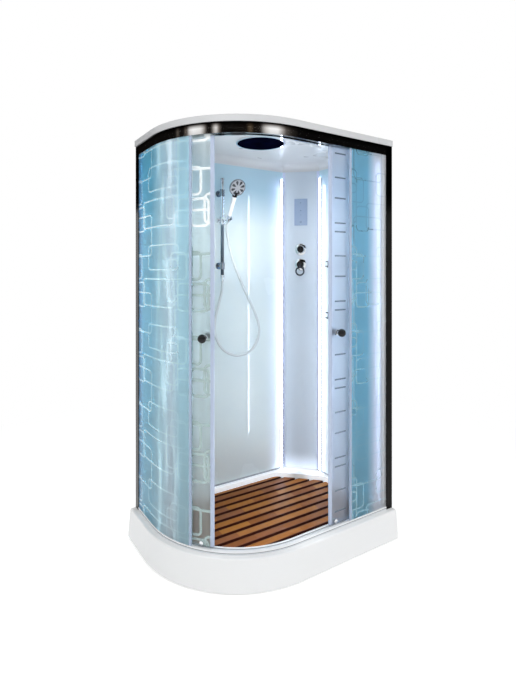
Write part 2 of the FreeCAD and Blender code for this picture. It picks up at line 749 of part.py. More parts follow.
def right_spot(x):
    """A place on the right door: a function of inset, and the outward rotation."""
    def at(inset):
        return x, Y_FRONT + inset
    return at, AXES["-y"]


def left_spot(degrees):
    """A place on the left door at a plan angle."""
    def at(inset):
        return arc_point((CX, CY), s.corner_radius - inset, degrees)
    turn = Rotation(Vector(0, 0, 1), float(degrees)) * Rotation(Vector(0, 1, 0), 90)
    return at, turn


def outward(spot, radius, inset_far, inset_near, z, name="Stub"):
    """A cylinder along the outward direction from inset_near to inset_far (smaller)."""
    at, turn = spot
    x, y = at(inset_near)
    return cylinder(radius, size(inset_near) - size(inset_far), x, y, z, turn, name)


def door_piece(kind, label, lead_spot, trail_spot, knob_spot, glass, wheels):
    face, back = DOOR_FACE, DOOR_BACK
    track = TRACK + s.lip / 2
    wheel_z = RAIL_SILL + s.lip_rise + s.tread_radius + 0.1
    holes, carriers = [], []
    wheel_near, wheel_far = track + s.wheel_width / 2, track - s.wheel_width / 2
    for spot in (lead_spot, trail_spot):
        for z in (wheel_z, size(CARRIER_LOW)):
            holes.append(outward(spot, BOLT + 0.5, face - 3, back + 3, z, "BoltHole"))
        cap = outward(spot, 10, face - BOLT_HEAD, face - s.seat, wheel_z, "Cap")
        bolt = outward(spot, BOLT, face - BOLT_HEAD / 2, back + 2, wheel_z, "Bolt")
        hub = outward(spot, 7, back + s.seat, wheel_far - s.seat, wheel_z, "Hub")
        axle = outward(spot, s.axle_radius, wheel_far - 2, wheel_near + 1.6, wheel_z, "Axle")
        head = outward(spot, 4.5, wheel_near + s.seat, wheel_near + 1.6, wheel_z, "AxleHead")
        carriers.append(fuse([cap, bolt, hub, axle, head], "Carrier"))
        cap = outward(spot, 10, face - BOLT_HEAD, face - s.seat, CARRIER_LOW, "Cap")
        bolt = outward(spot, BOLT, face - BOLT_HEAD / 2, back + 2, CARRIER_LOW, "Bolt")
        hub = outward(spot, 10, back + s.seat, track + 5, CARRIER_LOW, "Guide")
        tongue = guide_block(spot, track)
        carriers.append(cut(fuse([cap, bolt, hub, tongue], "Carrier"), [guide_slot(kind, track)]))
    holes.append(outward(knob_spot, BOLT, face - 3, back + 3, s.knob_height, "KnobHole"))
    node(f"{label}_glass", cut(glass, holes))
    node(f"{label}_carriers", group(carriers))
    outer, inner = face - s.seat, back + s.seat
    base_h, neck_h = 6, 8
    knob = fuse([outward(knob_spot, 13, outer - base_h, outer, s.knob_height),
                 outward(knob_spot, 8, outer - neck_h - 6, outer, s.knob_height),
                 outward(knob_spot, BOLT - 1, outer - 4, inner + 4, s.knob_height),
                 outward(knob_spot, 13, inner, inner + base_h, s.knob_height),
                 outward(knob_spot, 8, inner, inner + neck_h + 6, s.knob_height),
                 knob_ball(knob_spot, outer - neck_h - s.knob_radius + 3),
                 knob_ball(knob_spot, inner + neck_h + s.knob_radius - 3)], "KnobPair")
    node(f"{label}_knobs", knob)
    for name, spot in wheels:
        tyre = outward(spot, s.wheel_radius, wheel_far, wheel_near, wheel_z, "Tyre")
        groove = [outward(spot, s.wheel_radius + 1, track - 1.4, track + 1.4, wheel_z),
                  outward(spot, s.tread_radius, track - 3, track + 3, wheel_z)]
        bore = outward(spot, s.axle_radius + s.running, wheel_far - 1, wheel_near + 1, wheel_z)
        node(name, cut(tyre, [cut(groove[0], [groove[1]]), bore], "Wheel"))


def knob_ball(spot, inset):
    x, y = spot[0](inset)
    return sphere(s.knob_radius, x, y, s.knob_height)


def guide_block(spot, track):
    at, turn = spot
    x, y = at(track + 5)
    block = new("Part::Box", "Tongue")
    bind(block, "Length", 20)
    bind(block, "Width", 20)
    bind(block, "Height", 10)
    foot = LOW_RAIL_HEAD - 5
    offset = turn.multVec(Vector(-10, -10, 0))
    place(block, size(x) + offset.x, size(y) + offset.y, foot + 10 + offset.z, turn)
    return block


def guide_slot(kind, track):
    """Clearance round the bottom track lip."""
    low, high = LOW_RAIL_HEAD - 20, LOW_RAIL_HEAD - 1
    a, b = track - 1.8, track + 1.8
    if kind == "left":
        return extrusion([sector_loop(a, b, 150, 300)], low, high, "GuideSlot")
    return box(-600, Y_FRONT + a, low, 700, Y_FRONT + b, high, "GuideSlot")


def make_left_door():
    a, b = DOOR_FACE, DOOR_BACK
    lead = s.left_lead
    trail = lead - s.left_span
    step = 180 / math.pi / (s.corner_radius - DOOR_MID)
    low, high = DOOR_FOOT, DOOR_HEAD
    pane = extrusion([sector_loop(a, b, trail + 4 * step, lead - 8 * step)], low, high, "LeftPane")
    spot_lead = left_spot(lead - CARRIER_EDGE * step)
    spot_trail = left_spot(trail + CARRIER_EDGE * step)
    knob = left_spot(lead - 46 * step)
    door_piece("left", "door_left", spot_lead, spot_trail, knob, pane,
               [("door_left_wheel_lead", spot_lead), ("door_left_wheel_trail", spot_trail)])
    seal_low, seal_high = LOW_RAIL_HEAD + 4, RAIL_SILL - 3
    wall, slack = s.seal_wall, 0.2
    strip = extrusion([sector_loop(a - wall - slack, b + wall + slack, lead - s.seal_width * step, lead)],
                      seal_low, seal_high, "LeadSeal")
    slot = extrusion([sector_loop(a - slack, b + slack, lead - 30 * step, lead - 7.7 * step)],
                     seal_low - 1, seal_high + 1, "LeadSlot")
    fin = extrusion([sector_loop(a - wall - slack, b + wall + slack, trail, trail + 14 * step)],
                    seal_low, seal_high, "TrailSeal")
    fin_slot = extrusion([sector_loop(a - slack, b + slack, trail + 3.7 * step, trail + 30 * step)],
                         seal_low - 1, seal_high + 1, "TrailSlot")
    node("door_left_seals", group([cut(strip, [slot]), cut(fin, [fin_slot])]))


def make_right_door():
    a, b = DOOR_FACE, DOOR_BACK
    lead = CX + s.right_lead
    trail = lead + s.right_span
    low, high = DOOR_FOOT, DOOR_HEAD
    pane = box(lead + 8, Y_FRONT + a, low, trail - 4, Y_FRONT + b, high, "RightPane")
    spot_lead, spot_trail = right_spot(lead + 42), right_spot(trail - CARRIER_EDGE)
    door_piece("right", "door_right", spot_lead, spot_trail, right_spot(lead + 56), pane,
               [("door_right_wheel_lead", spot_lead), ("door_right_wheel_trail", spot_trail)])
    seal_low, seal_high = LOW_RAIL_HEAD + 4, RAIL_SILL - 3
    wall, slack = s.seal_wall, 0.2
    y0, y1 = Y_FRONT + a, Y_FRONT + b
    strip = box(lead, y0 - wall - slack, seal_low, lead + s.seal_width, y1 + wall + slack, seal_high)
    slot = box(lead + 7.7, y0 - slack, seal_low - 1, lead + 30, y1 + slack, seal_high + 1)
    fin = box(trail - 14, y0 - wall - slack, seal_low, trail, y1 + wall + slack, seal_high)
    fin_slot = box(trail - 30, y0 - slack, seal_low - 1, trail - 3.7, y1 + slack, seal_high + 1)
    node("door_right_seals", group([cut(strip, [slot]), cut(fin, [fin_slot])]))


# ------------------------------------------------------------------ walls and column
PANEL_LEFT = X_LEFT + s.rail_setback + s.profile_depth
PANEL_FRONT = Y_FRONT + s.rail_setback + s.profile_depth
STEAM_Y, STEAM_Z = 60, 530
STEAM_BORE = 6


def make_walls():
    low, high = PANEL_FOOT, WALL_HEAD - s.seat
    sheet_y = WALL_A + s.wall_sheet
    sheet_x = WALL_B + s.wall_sheet
    feed = [cylinder(6.5, 40, s.riser_x, WALL_A - 5, z, "+y") for z in riser_marks()]
    node("back_panel", cut(box(PANEL_LEFT, WALL_A, low, COLUMN_X, sheet_y, high), feed))
    outlet = cylinder(STEAM_BORE + 2.5, 60, WALL_B - 10, STEAM_Y, STEAM_Z, "+x")
    node("side_panel", cut(box(WALL_B, PANEL_FRONT, low, sheet_x, COLUMN_Y, high), [outlet]))
    tube = 30
    foot, head = s.tray_height, WALL_HEAD - s.seat
    marks = [foot, size(800), size(1440), head - tube]

    back = [box(PANEL_LEFT, sheet_y, foot, PANEL_LEFT + tube, Y_BACK, head),
            box(COLUMN_X - tube, sheet_y, foot, COLUMN_X, Y_BACK, head)]
    back += [box(PANEL_LEFT, sheet_y, z, COLUMN_X, Y_BACK, z + tube) for z in marks]
    side = [box(sheet_x, PANEL_FRONT, foot, X_RIGHT, PANEL_FRONT + tube, head),
            box(sheet_x, COLUMN_Y - tube, foot, X_RIGHT, COLUMN_Y, head)]
    side += [box(sheet_x, PANEL_FRONT, z, X_RIGHT, COLUMN_Y, z + tube) for z in marks]
    pass_through = cylinder(STEAM_BORE + 2, tube + 20, WALL_B + 15, COLUMN_Y - tube - 10, STEAM_Z, "+y")
    post = cut(box(X_RIGHT - 40, Y_BACK - 40, foot, X_RIGHT, Y_BACK, head),
               [box(X_RIGHT - 50, Y_BACK - 50, foot - 1, X_RIGHT - 3, Y_BACK - 3, head + 1)])
    stubs = [cylinder(10, 60, s.riser_x, WALL_A, z, "+y") for z in riser_marks()]
    node("wall_frames", group([cut(fuse(back), stubs), cut(fuse(side), [pass_through]), post]))


def riser_marks():
    """Heights of the shower rail's two brackets; the lower one carries the water."""
    return (RISER_FOOT + 54, RISER_FOOT + 486)


COLUMN_TURN = Rotation(Vector(0, 0, 1), -45)
ROOT_HALF = math.sqrt(0.5)


def column_point(across, out):
    """Plan point: across the column's face from its left edge, and out from the face."""
    across, out = size(across), size(out)
    return COLUMN_X + (across - out) * ROOT_HALF, WALL_A - (across + out) * ROOT_HALF


def column_box(u0, u1, n0, n1, z0, z1, name="ColumnBlock"):
    obj = new("Part::Box", name)
    bind(obj, "Length", size(u1) - u0)
    bind(obj, "Width", size(n1) - n0)
    bind(obj, "Height", size(z1) - z0)
    x, y = column_point(u0, n1)
    return place(obj, x, y, z0, COLUMN_TURN)


OUT_OF_COLUMN = COLUMN_TURN * Rotation(Vector(1, 0, 0), 90)


def column_round(radius, n0, n1, z, across=None, name="ColumnRound"):
    """Cylinder square to the column's face, from n0 out to n1."""
    x, y = column_point(COLUMN_MID if across is None else across, n0)
    return cylinder(radius, size(n1) - n0, x, y, z, OUT_OF_COLUMN, name)


STEM = 6


def make_column():
    low, high = PANEL_FOOT, WALL_HEAD - s.seat
    face = -1
    back = face - s.column_sheet
    panel = column_box(s.trim_width + s.seat, COLUMN_WIDTH - s.trim_width - s.seat, back, face, low, high)
    holes = [column_round(STEM + 4, -20, 20, z) for z in (DIVERTER, MIXER)]
    node("column_panel", cut(panel, holes))
    node("column_trims", group([column_box(0, s.trim_width, -8, 0, low, high),
                                column_box(COLUMN_WIDTH - s.trim_width, COLUMN_WIDTH, -8, 0, low, high)]))
    half = s.panel_width / 2
    middle = WALL_HEAD - s.panel_drop
    z0, z1 = middle - s.panel_length / 2, middle + s.panel_length / 2
    bezel = column_box(COLUMN_MID - half, COLUMN_MID + half, face + s.seat, 5, z0, z1)
    touch = column_box(COLUMN_MID - half + 3, COLUMN_MID + half - 3, 4, 7, z0 + 3, z1 - 3)
    node("control_panel", fuse([bezel, touch]))


def make_valves():
    face = -1 + s.seat
    plate = 5
    plates = []
    for z in (DIVERTER, MIXER):
        disc = column_round(s.plate_radius, face, plate, z)
        plates.append(cut(disc, [column_round(STEM + 0.5, -20, 20, z)]))
    node("control_plates", group(plates))
    z = DIVERTER
    knob = fuse([column_round(26, plate + s.seat, 20, z), column_round(22, 20, 32, z),
                 column_box(COLUMN_MID - 3, COLUMN_MID + 3, 24, 38, z - 20, z + 20)])
    node("diverter_knob", cut(knob, [column_round(STEM + s.running, 0, 18.3, z)]))

    z = MIXER
    turret = column_round(22, plate + s.seat, 44, z)
    ears = [column_box(COLUMN_MID + side * 11.5 - 2.5, COLUMN_MID + side * 11.5 + 2.5, 43, 60, z - 6, z + 6)
            for side in (-1, 1)]
    x, y = column_point(COLUMN_MID - 12, 53)
    along = COLUMN_TURN * Rotation(Vector(0, 1, 0), 90)
    pin = cylinder(2.5, 24, x, y, z, along)
    node("mixer_turret", cut(fuse([turret, pin] + ears), [column_round(STEM + s.running, 0, 18.3, z)]))

    x, y = column_point(COLUMN_MID - 8.5, 53)
    hub = cylinder(7, 17, x, y, z, along)
    x0, y0 = column_point(COLUMN_MID, 53)
    arm = cylinder(5, 22, x0, y0, z - 22)
    ring = torus(25, 5, x0, y0, z - 44, OUT_OF_COLUMN)
    x, y = column_point(COLUMN_MID - 10, 53)
    bore = cylinder(2.5 + s.running, 20, x, y, z, along)
    node("mixer_lever", cut(fuse([hub, arm, ring]), [bore]))

    z0, z1 = MIXER - 34, DIVERTER + 34
    back = -1 - s.column_sheet - s.seat
    block = column_box(COLUMN_MID - 34, COLUMN_MID + 34, -50, -12, z0, z1, "Valve")
    parts = [block]
    for z in (DIVERTER, MIXER):
        parts.append(column_round(14, -13, back, z))
        parts.append(column_round(STEM, -13, 18, z))
    bores = []
    tip = Y_BACK - 12
    for side in (-1, 1):
        x, y = column_point(COLUMN_MID + side * 24, -40)
        level = z0 + 18
        parts.append(cylinder(13, tip - INLET_LENGTH - y, x, y, level, "+y", "InletRoot"))
        parts.append(cylinder(INLET_RADIUS, tip - y, x, y, level, "+y", "Inlet"))
        bores.append(cylinder(7, tip - y + 1, x, y, level, "+y", "InletBore"))
    node("valve_body", cut(fuse(parts), bores))


INLET_RADIUS = 10.48
INLET_LENGTH = 24


# ------------------------------------------------------------------ tubes on a path of runs and arcs
def smooth_path(points, share=0.45):
    """Edges of straight runs joined by tangent arcs, and the arcs' radii."""
    points = [Vector(*p) for p in points]
    edges, radii = [], []
    start = points[0]
    for before, corner, after in zip(points, points[1:], points[2:]):
        run_in, run_out = corner - before, after - corner
        turn = run_in.getAngle(run_out)
        reach = share * min(run_in.Length, run_out.Length)
        radius = reach / math.tan(turn / 2)
        a = corner - run_in.normalize() * reach
        b = corner + run_out.normalize() * reach
        bisector = (run_out - run_in).normalize()
        middle = corner + bisector * (radius / math.cos(turn / 2) - radius)
        edges.append(Part.LineSegment(start, a).toShape())
        edges.append(Part.Arc(a, middle, b).toShape())
        radii.append(radius)
        start = b
    edges.append(Part.LineSegment(start, points[-1]).toShape())
    return edges, radii


def tube_along(points, radius, bore=None):
    edges, radii = smooth_path(points)
    path = Part.Wire(edges)
    first = Vector(*points[1]) - Vector(*points[0])
    radii = [radius, bore] if bore else [radius]
    rings = [Part.Wire(Part.makeCircle(r, Vector(*points[0]), first)) for r in radii]
    solids = [path.makePipeShell([ring], True, False) for ring in rings]
    solid = solids[0] if len(solids) == 1 else solids[0].cut(solids[1])
    return solid, path.Length, radii


def feature(label, shape):
    obj = new("Part::Feature", label)
    obj.Shape = shape
    return obj


# ------------------------------------------------------------------ shower rail, slider and handset
RISER_Y = WALL_A - s.riser_standoff
CRADLE_REACH = 78
CRADLE_RISE = 7


def along_handset(distance):
    """Point on the handset's axis, measured up from the cradle's pivot."""
    reach = size(distance)
    return (s.riser_x, RISER_Y - CRADLE_REACH - reach * sine(s.handset_tilt),
            SLIDER + CRADLE_RISE + reach * cosine(s.handset_tilt))


HANDSET_TURN = Rotation(Vector(1, 0, 0), float(s.handset_tilt))
FACE_TURN = HANDSET_TURN * Rotation(Vector(1, 0, 0), 90)


def face_point(out):
    """Point on the spray head's axis, measured out from the handset's axis."""
    x, y, z = along_handset(s.handset_length)
    return x, y - out * cosine(s.handset_tilt), z - out * sine(s.handset_tilt)


def make_riser():
    x, y = s.riser_x, RISER_Y
    head = RISER_FOOT + s.riser_length
    tube = fuse([cylinder(s.riser_radius, s.riser_length - 6, x, y, RISER_FOOT),
                 cylinder(s.riser_radius + 2, 8, x, y, head - 8), sphere(8, x, y, head - 4)])
    node("riser_tube", tube)
    brackets = []
    for z in riser_marks():
        arm = cylinder(9, s.riser_standoff - s.seat, x, y, z, "+y")
        rose = cylinder(19, 6, x, WALL_A - 6 - s.seat, z, "+y")
        stub = cylinder(6, 24, x, WALL_A - 6, z, "+y")
        collar = cylinder(s.riser_radius + 4.5, 40, x, y, z - 20)
        brackets.append(cut(fuse([arm, rose, stub, collar]),
                            [cylinder(s.riser_radius + 0.15, 44, x, y, z - 22)]))
    node("riser_brackets", group(brackets))
    top = RISER_FOOT - s.seat
    node("hose_outlet", fuse([cylinder(s.riser_radius + 3, 12, x, y, top - 12),
                              cone(9, s.riser_radius + 1, 25, x, y, top - 37)]))

    z = SLIDER
    barrel = cylinder(18, 46, x, y, z - 23)
    arm = cylinder(9, 13, x, y - 16, z + CRADLE_RISE, "-y")
    boss = cylinder(9, 8, x - 15, y, z, "-x")
    low, high = z + CRADLE_RISE - 9, z + CRADLE_RISE + 9
    fork = [box(x + side * 16 - 2.5, y - CRADLE_REACH - 8, low, x + side * 16 + 2.5, y - 27, high)
            for side in (-1, 1)]
    bridge = box(x - 18.5, y - 32, low, x + 18.5, y - 27, high)
    slider = fuse([barrel, arm, boss, bridge] + fork)
    pin_hole = cylinder(3 + s.running, 50, x - 25, y - CRADLE_REACH, z + CRADLE_RISE, "+x")
    lock_hole = cylinder(3 + s.running, 20, x - 8, y, z, "-x")
    node("slider_block", cut(slider, [cylinder(s.riser_radius + 0.2, 60, x, y, z - 30), pin_hole, lock_hole]))
    lock = fuse([cylinder(13, 16, x - 23 - s.seat, y, z, "-x"), cylinder(3, 12, x - 12, y, z, "-x")])
    node("slider_knob", lock)

    px, py, pz = along_handset(size(-14))
    cup = cylinder(13, 28, px, py, pz, HANDSET_TURN)
    trunnions = cylinder(3, 37, x - 18.5, y - CRADLE_REACH, z + CRADLE_RISE, "+x")
    qx, qy, qz = along_handset(size(-16))
    hollow = cone(9.6, 11.6, 34, qx, qy, qz, HANDSET_TURN)
    slot_x, slot_y, slot_z = along_handset(size(-20))
    mouth = new("Part::Box", "Mouth")
    bind(mouth, "Length", 15.5)
    bind(mouth, "Width", 30)
    bind(mouth, "Height", 50)
    shift = HANDSET_TURN.multVec(Vector(-7.75, -30, 0))
    place(mouth, slot_x + shift.x, slot_y + shift.y, slot_z + shift.z, HANDSET_TURN)
    node("handset_cradle", cut(fuse([cup, trunnions]), [hollow, mouth]))


def make_handset():
    def on_axis(maker, *sizes, start):
        x, y, z = along_handset(size(start))
        return maker(*sizes, x, y, z, HANDSET_TURN)

    nut_cone = on_axis(cone, 9.6 - 0.4, 11.6 - 0.25, 30, start=-14)
    tail = on_axis(cylinder, 9.0, 12, start=-25)
    handle = on_axis(cone, 10.6, 13, 118, start=15.9)
    neck = on_axis(cylinder, 14, 10, start=133)
    throat = on_axis(cone, 13, 19, 20, start=142)
    hx, hy, hz = face_point(size(-8))
    shell = cylinder(s.head_radius, 20, hx, hy, hz, FACE_TURN)
    bx, by, bz = face_point(size(-14))
    dome = cone(s.head_radius - 18, s.head_radius, 6, bx, by, bz, FACE_TURN)
    rx, ry, rz = face_point(size(6))
    recess = cylinder(s.head_radius - 4, 30, rx, ry, rz, FACE_TURN)
    node("handset_body", cut(fuse([nut_cone, tail, handle, neck, throat, shell, dome]), [recess]))
    fx, fy, fz = face_point(6 + s.seat)
    plate = cylinder(s.head_radius - 4.4, 6, fx, fy, fz, FACE_TURN)
    cx, cy, cz = face_point(size(12))
    button = cylinder(9, 2.5, cx, cy, cz, FACE_TURN)
    petals = []
    for k in range(8):
        angle = math.radians(45 * k)
        offset = FACE_TURN.multVec(Vector(27 * math.cos(angle), 27 * math.sin(angle), 0))
        petals.append(cylinder(7.5, 1.6, cx + offset.x, cy + offset.y, cz + offset.z, FACE_TURN))
    node("handset_face", fuse([plate, button] + petals))


# The hose hangs freely: points chosen by hand, from under the rail's outlet to under the handset.
HOSE_ROUTE = [
    (-66, 331, 1330),
    (-90, 325, 1260),
    (-120, 314, 1180),
    (-134, 306, 1092),
    (-106, 304, 1008),
    (-40, 304, 950),
    (40, 304, 931),
    (121, 304, 953),
    (172, 303, 1024),
    (177, 303, 1109),
    (140, 302, 1197),
    (92, 300, 1282),
    (46, 298, 1370),
    (4, 296, 1458),
    (-30, 293, 1544),
    (-52, 287, 1630),
]


def make_hose():
    start = (float(s.riser_x), float(RISER_Y), float(RISER_FOOT - s.seat - 37))
    tip = tuple(float(n) for n in along_handset(size(-25)))
    back = tuple(float(n) for n in along_handset(size(-67)))
    route = [start] + HOSE_ROUTE + [back, tip]
    solid, length, radii = tube_along(route, float(s.hose_radius))
    expected = math.pi * float(s.hose_radius) ** 2 * length
    print("hose length %.0f, volume ratio %.4f, radii %s"
          % (length, solid.Volume / expected, ", ".join("%.0f" % r for r in radii)))
    node("shower_hose", feature("Hose", solid))


# ------------------------------------------------------------------ shelves
def make_shelves():
    glasses, rails = [], []
    x0, x1 = WALL_B - s.shelf_depth, WALL_B - s.seat
    y1 = COLUMN_Y - 130
    y0 = y1 - s.shelf_length
    rounding = size(24)
    for z in (s.shelf_upper, s.shelf_lower):
        outline = [
            ("line", (x1, y0), (x1, y1)),
            ("line", (x1, y1), (x0 + rounding, y1)),
            ("arc", (x0 + rounding, y1 - rounding), rounding, 90, 180),
            ("line", (x0, y1 - rounding), (x0, y0 + rounding)),
            ("arc", (x0 + rounding, y0 + rounding), rounding, 180, 270),
            ("line", (x0 + rounding, y0), (x1, y0)),
        ]
        posts = [(x0 + 12, y0 + 30), (x0 + 12, y1 - 30), (x1 - 8, y0 + 8), (x1 - 8, y1 - 8)]
        glasses.append(cut(extrusion([outline], z, z + 6, "Shelf"),
                           [cylinder(3.2, 20, px, py, z - 5) for px, py in posts]))
        bar = z + s.gallery
        inset = [(x1, y0 + 8), (x0 + 12, y0 + 8), (x0 + 12, y1 - 8), (x1, y1 - 8)]
        rods = []
        for (ax, ay), (bx, by) in zip(inset, inset[1:]):
            if ay is by or abs(float(ay) - float(by)) < 0.01:
                low, high = (ax, bx) if float(ax) < float(bx) else (bx, ax)
                rods.append(cylinder(3, high - low, low, ay, bar, "+x"))
            else:
                rods.append(cylinder(3, by - ay, ax, ay, bar, "+y"))
        rods += [sphere(3, x0 + 12, yy, bar) for yy in (y0 + 8, y1 - 8)]
        for px, py in posts:
            rods.append(cylinder(3, s.gallery + 4, px, py, z - 4))
            rods.append(cylinder(7, 4, px, py, z - 4 - s.seat))
        for yy in (y0 + 8, y1 - 8):
            rods.append(cylinder(9, 4, x1 - 4, yy, bar, "+x"))
        rails.append(fuse(rods))
    node("shelf_glasses", group(glasses))
    node("shelf_rails", group(rails))


# ------------------------------------------------------------------ light strips
def make_lights():
    low, high = PANEL_FOOT + 1, WALL_HEAD - 47
    d, w = s.led_depth, s.led_width
    spots = [
        ("a", COLUMN_X - w - 5), ("a", PANEL_LEFT + 6),
        ("b", COLUMN_Y - w - 5), ("b", PANEL_FRONT + 36),
    ]
    channels, diffusers = [], []
    for wall, start in spots:
        if wall == "a":
            face = WALL_A - s.seat
            outer = box(start, face - d, low, start + w, face, high)
            inner = (start + 2, face - d - 1, start + w - 2, face - 2)
            strip = box(start + 2, face - d, low, start + w - 2, face - 2, high)
        else:
            face = WALL_B - s.seat
            outer = box(face - d, start, low, face, start + w, high)
            inner = (face - d - 1, start + 2, face - 2, start + w - 2)
            strip = box(face - d, start + 2, low, face - 2, start + w - 2, high)
        channels.append(cut(outer, [box(inner[0], inner[1], low - 1, inner[2], inner[3], high + 1)]))
        diffusers.append(strip)
    node("led_channels", group(channels))
    node("led_diffusers", group(diffusers))


# ------------------------------------------------------------------ roof, ceiling shower and fan
OVERHEAD = (X_LEFT + 586, Y_FRONT + 401)
FAN = (X_RIGHT - 320, Y_FRONT + 255)
FAN_BORE = 46


def cove_prism(length):
    """The space inside a wall below its quarter-round cove: the wall's face at x 0, the room at +x."""
    r = float(s.cove)
    z0, z1 = float(WALL_HEAD), float(CEILING)
    low = z0 - 30
    far = float(BIG)
    arc = Part.Arc(Vector(0, 0, z0), Vector(r - r * math.cos(math.pi / 4), 0, z0 + r * math.sin(math.pi / 4)),
                   Vector(r, 0, z1))
    edges = [Part.LineSegment(Vector(0, 0, low), Vector(0, 0, z0)), arc,
             Part.LineSegment(Vector(r, 0, z1), Vector(far, 0, z1)),
             Part.LineSegment(Vector(far, 0, z1), Vector(far, 0, low)),
             Part.LineSegment(Vector(far, 0, low), Vector(0, 0, low))]
    wire = Part.Wire([e.toShape() for e in edges])
    prism = Part.Face(wire).extrude(Vector(0, length, 0))
    prism.translate(Vector(0, -length / 2, 0))
    return prism.copy(True)


def make_roof():
    edge = s.rail_setback - s.roof_overhang
    slab = extrusion([plan_loop(edge)], RAIL_HEAD, s.roof_top, "RoofSlab")
    lower = extrusion([plan_loop(RAIL_INNER + 4)], WALL_HEAD, RAIL_HEAD + 1, "RoofSkirt")
    inside = extrusion([plan_loop(RAIL_INNER + 4)], WALL_HEAD - 30, CEILING, "RoofRoom")
    coves = []
    for angle, (x, y) in ((180, (WALL_B, size(0))), (-90, (size(0), WALL_A)),
                          (-135, column_point(COLUMN_MID, 0))):
        centred = Part.Compound([cove_prism(2 * BIG)])
        coves.append(place(feature("Cove", centred), x, y, 0, Rotation(Vector(0, 0, 1), angle)))
    void = common([inside] + coves)
    holes = [cylinder(12, 200, OVERHEAD[0], OVERHEAD[1], CEILING - 50),
             cylinder(FAN_BORE, 200, FAN[0], FAN[1], CEILING - 50)]
    notches = [box(X_LEFT, PROFILE_Y - 1, WALL_HEAD - 1, PANEL_LEFT + 1, Y_BACK + 1, RAIL_HEAD),
               box(PROFILE_X - 1, Y_FRONT, WALL_HEAD - 1, X_RIGHT + 1, PANEL_FRONT + 1, RAIL_HEAD)]
    node("roof_shell", cut(fuse([slab, lower]), [void] + holes + notches))


def make_overhead():
    x, y = OVERHEAD
    under = CEILING - s.seat
    rim = cut(cylinder(s.overhead_radius, 9, x, y, under - 9),
              [cylinder(s.overhead_face + 0.4, 7, x, y, under - 10)])
    stem = cylinder(11, s.ceiling_drop + 24, x, y, under - 1)
    elbow = fuse([cylinder(10, 60, x, y, s.roof_top + 18, "+y"), sphere(13, x, y, s.roof_top + 18)])
    clamp = cylinder(20, 5, x, y, s.roof_top + s.seat)
    node("overhead_rim", fuse([rim, stem, elbow, clamp]))
    face = fuse([cylinder(s.overhead_face, 5, x, y, under - 8.3),
                 cone(s.overhead_face - 24, s.overhead_face - 4, 3, x, y, under - 11.3)])
    node("overhead_face", face)


def make_fan():
    x, y = FAN
    under = CEILING - s.seat
    disc = cylinder(s.fan_radius, 5, x, y, under - 5)
    slots = []
    for k in range(-4, 5):
        half = math.sqrt((float(s.fan_radius) - 10) ** 2 - (k * 10) ** 2)
        slots.append(box(x - half, y + k * 10 - 2.5, under - 20, x + half, y + k * 10 + 2.5, under + 20))
    node("fan_grille", cut(disc, slots))
    foot = s.roof_top + s.seat
    shell = cut(fuse([cylinder(FAN_BORE + 8, 44, x, y, foot), cylinder(FAN_BORE + 14, 3, x, y, foot),
                      cylinder(20, 40, x + 40, y, foot + 22, "+x")]),
                [cylinder(FAN_BORE + 5, 41, x, y, foot - 0.1), cylinder(17, 60, x + 40, y, foot + 22, "+x")])
    spindle = cylinder(3, 22, x, y, foot + 20)
    node("fan_housing", fuse([shell, spindle]))
    hub = cut(cylinder(14, 22, x, y, foot + 14), [cylinder(3 + s.running, 20, x, y, foot + 19.5)])
    blades = []
    for k in range(7):
        blade = new("Part::Box", "Blade")
        bind(blade, "Length", 30)
        bind(blade, "Width", 2)
        bind(blade, "Height", 16)
        turn = Rotation(Vector(0, 0, 1), 360 / 7 * k)
        twist = Rotation(Vector(1, 0, 0), 35)
        offset = turn.multVec(Vector(12, 2, 0))
        blades.append(place(blade, x + offset.x, y + offset.y, foot + 17, turn * twist))
    node("fan_rotor", fuse([hub] + blades))


# ------------------------------------------------------------------ steam and power behind the column
def make_services():
    x, y = X_RIGHT - 54, Y_BACK - 54
    foot = s.tray_height + s.seat
    plate = box(x - 36, y - 36, foot, x + 36, y + 36, foot + 5)
    tank = cylinder(44, 340, x, y, foot + 4)
    cap = cone(44, 30, 12, x, y, foot + 344)
    stub = cylinder(10, 14, x, y, foot + 354)
    node("steam_generator", fuse([plate, tank, cap, stub]))
    start = foot + 368 + s.seat
    route = [(float(x), float(y), float(start)), (float(x), float(y), STEAM_Z + 20.0),
             (float(WALL_B) + 15, float(COLUMN_Y) + 70, STEAM_Z + 8.0),
             (float(WALL_B) + 15, float(COLUMN_Y) + 8, float(STEAM_Z)),
             (float(WALL_B) + 15, STEAM_Y + 10.0, float(STEAM_Z))]
    pipe, _, radii = tube_along(route, STEAM_BORE, STEAM_BORE - 1.5)
    print("steam pipe radii", ", ".join("%.0f" % r for r in radii))
    elbow = box(WALL_B + 8, STEAM_Y - 8, STEAM_Z - 8, WALL_B + 23, STEAM_Y + 10, STEAM_Z + 8)
    nozzle = cylinder(8, 24, WALL_B - 14, STEAM_Y, STEAM_Z, "+x")
    cap = cone(14, 22, 12, WALL_B - 12 - s.seat, STEAM_Y, STEAM_Z, "+x")
    outlet = cut(fuse([elbow, nozzle, cap]), [cylinder(5, 30, WALL_B - 20, STEAM_Y, STEAM_Z, "+x")])
    node("steam_line", group([feature("SteamPipe", pipe), outlet]))
    node("power_unit", box(X_RIGHT - 43, Y_BACK - 43, 900, X_RIGHT - 3 - s.seat, Y_BACK - 3 - s.seat, 1060))


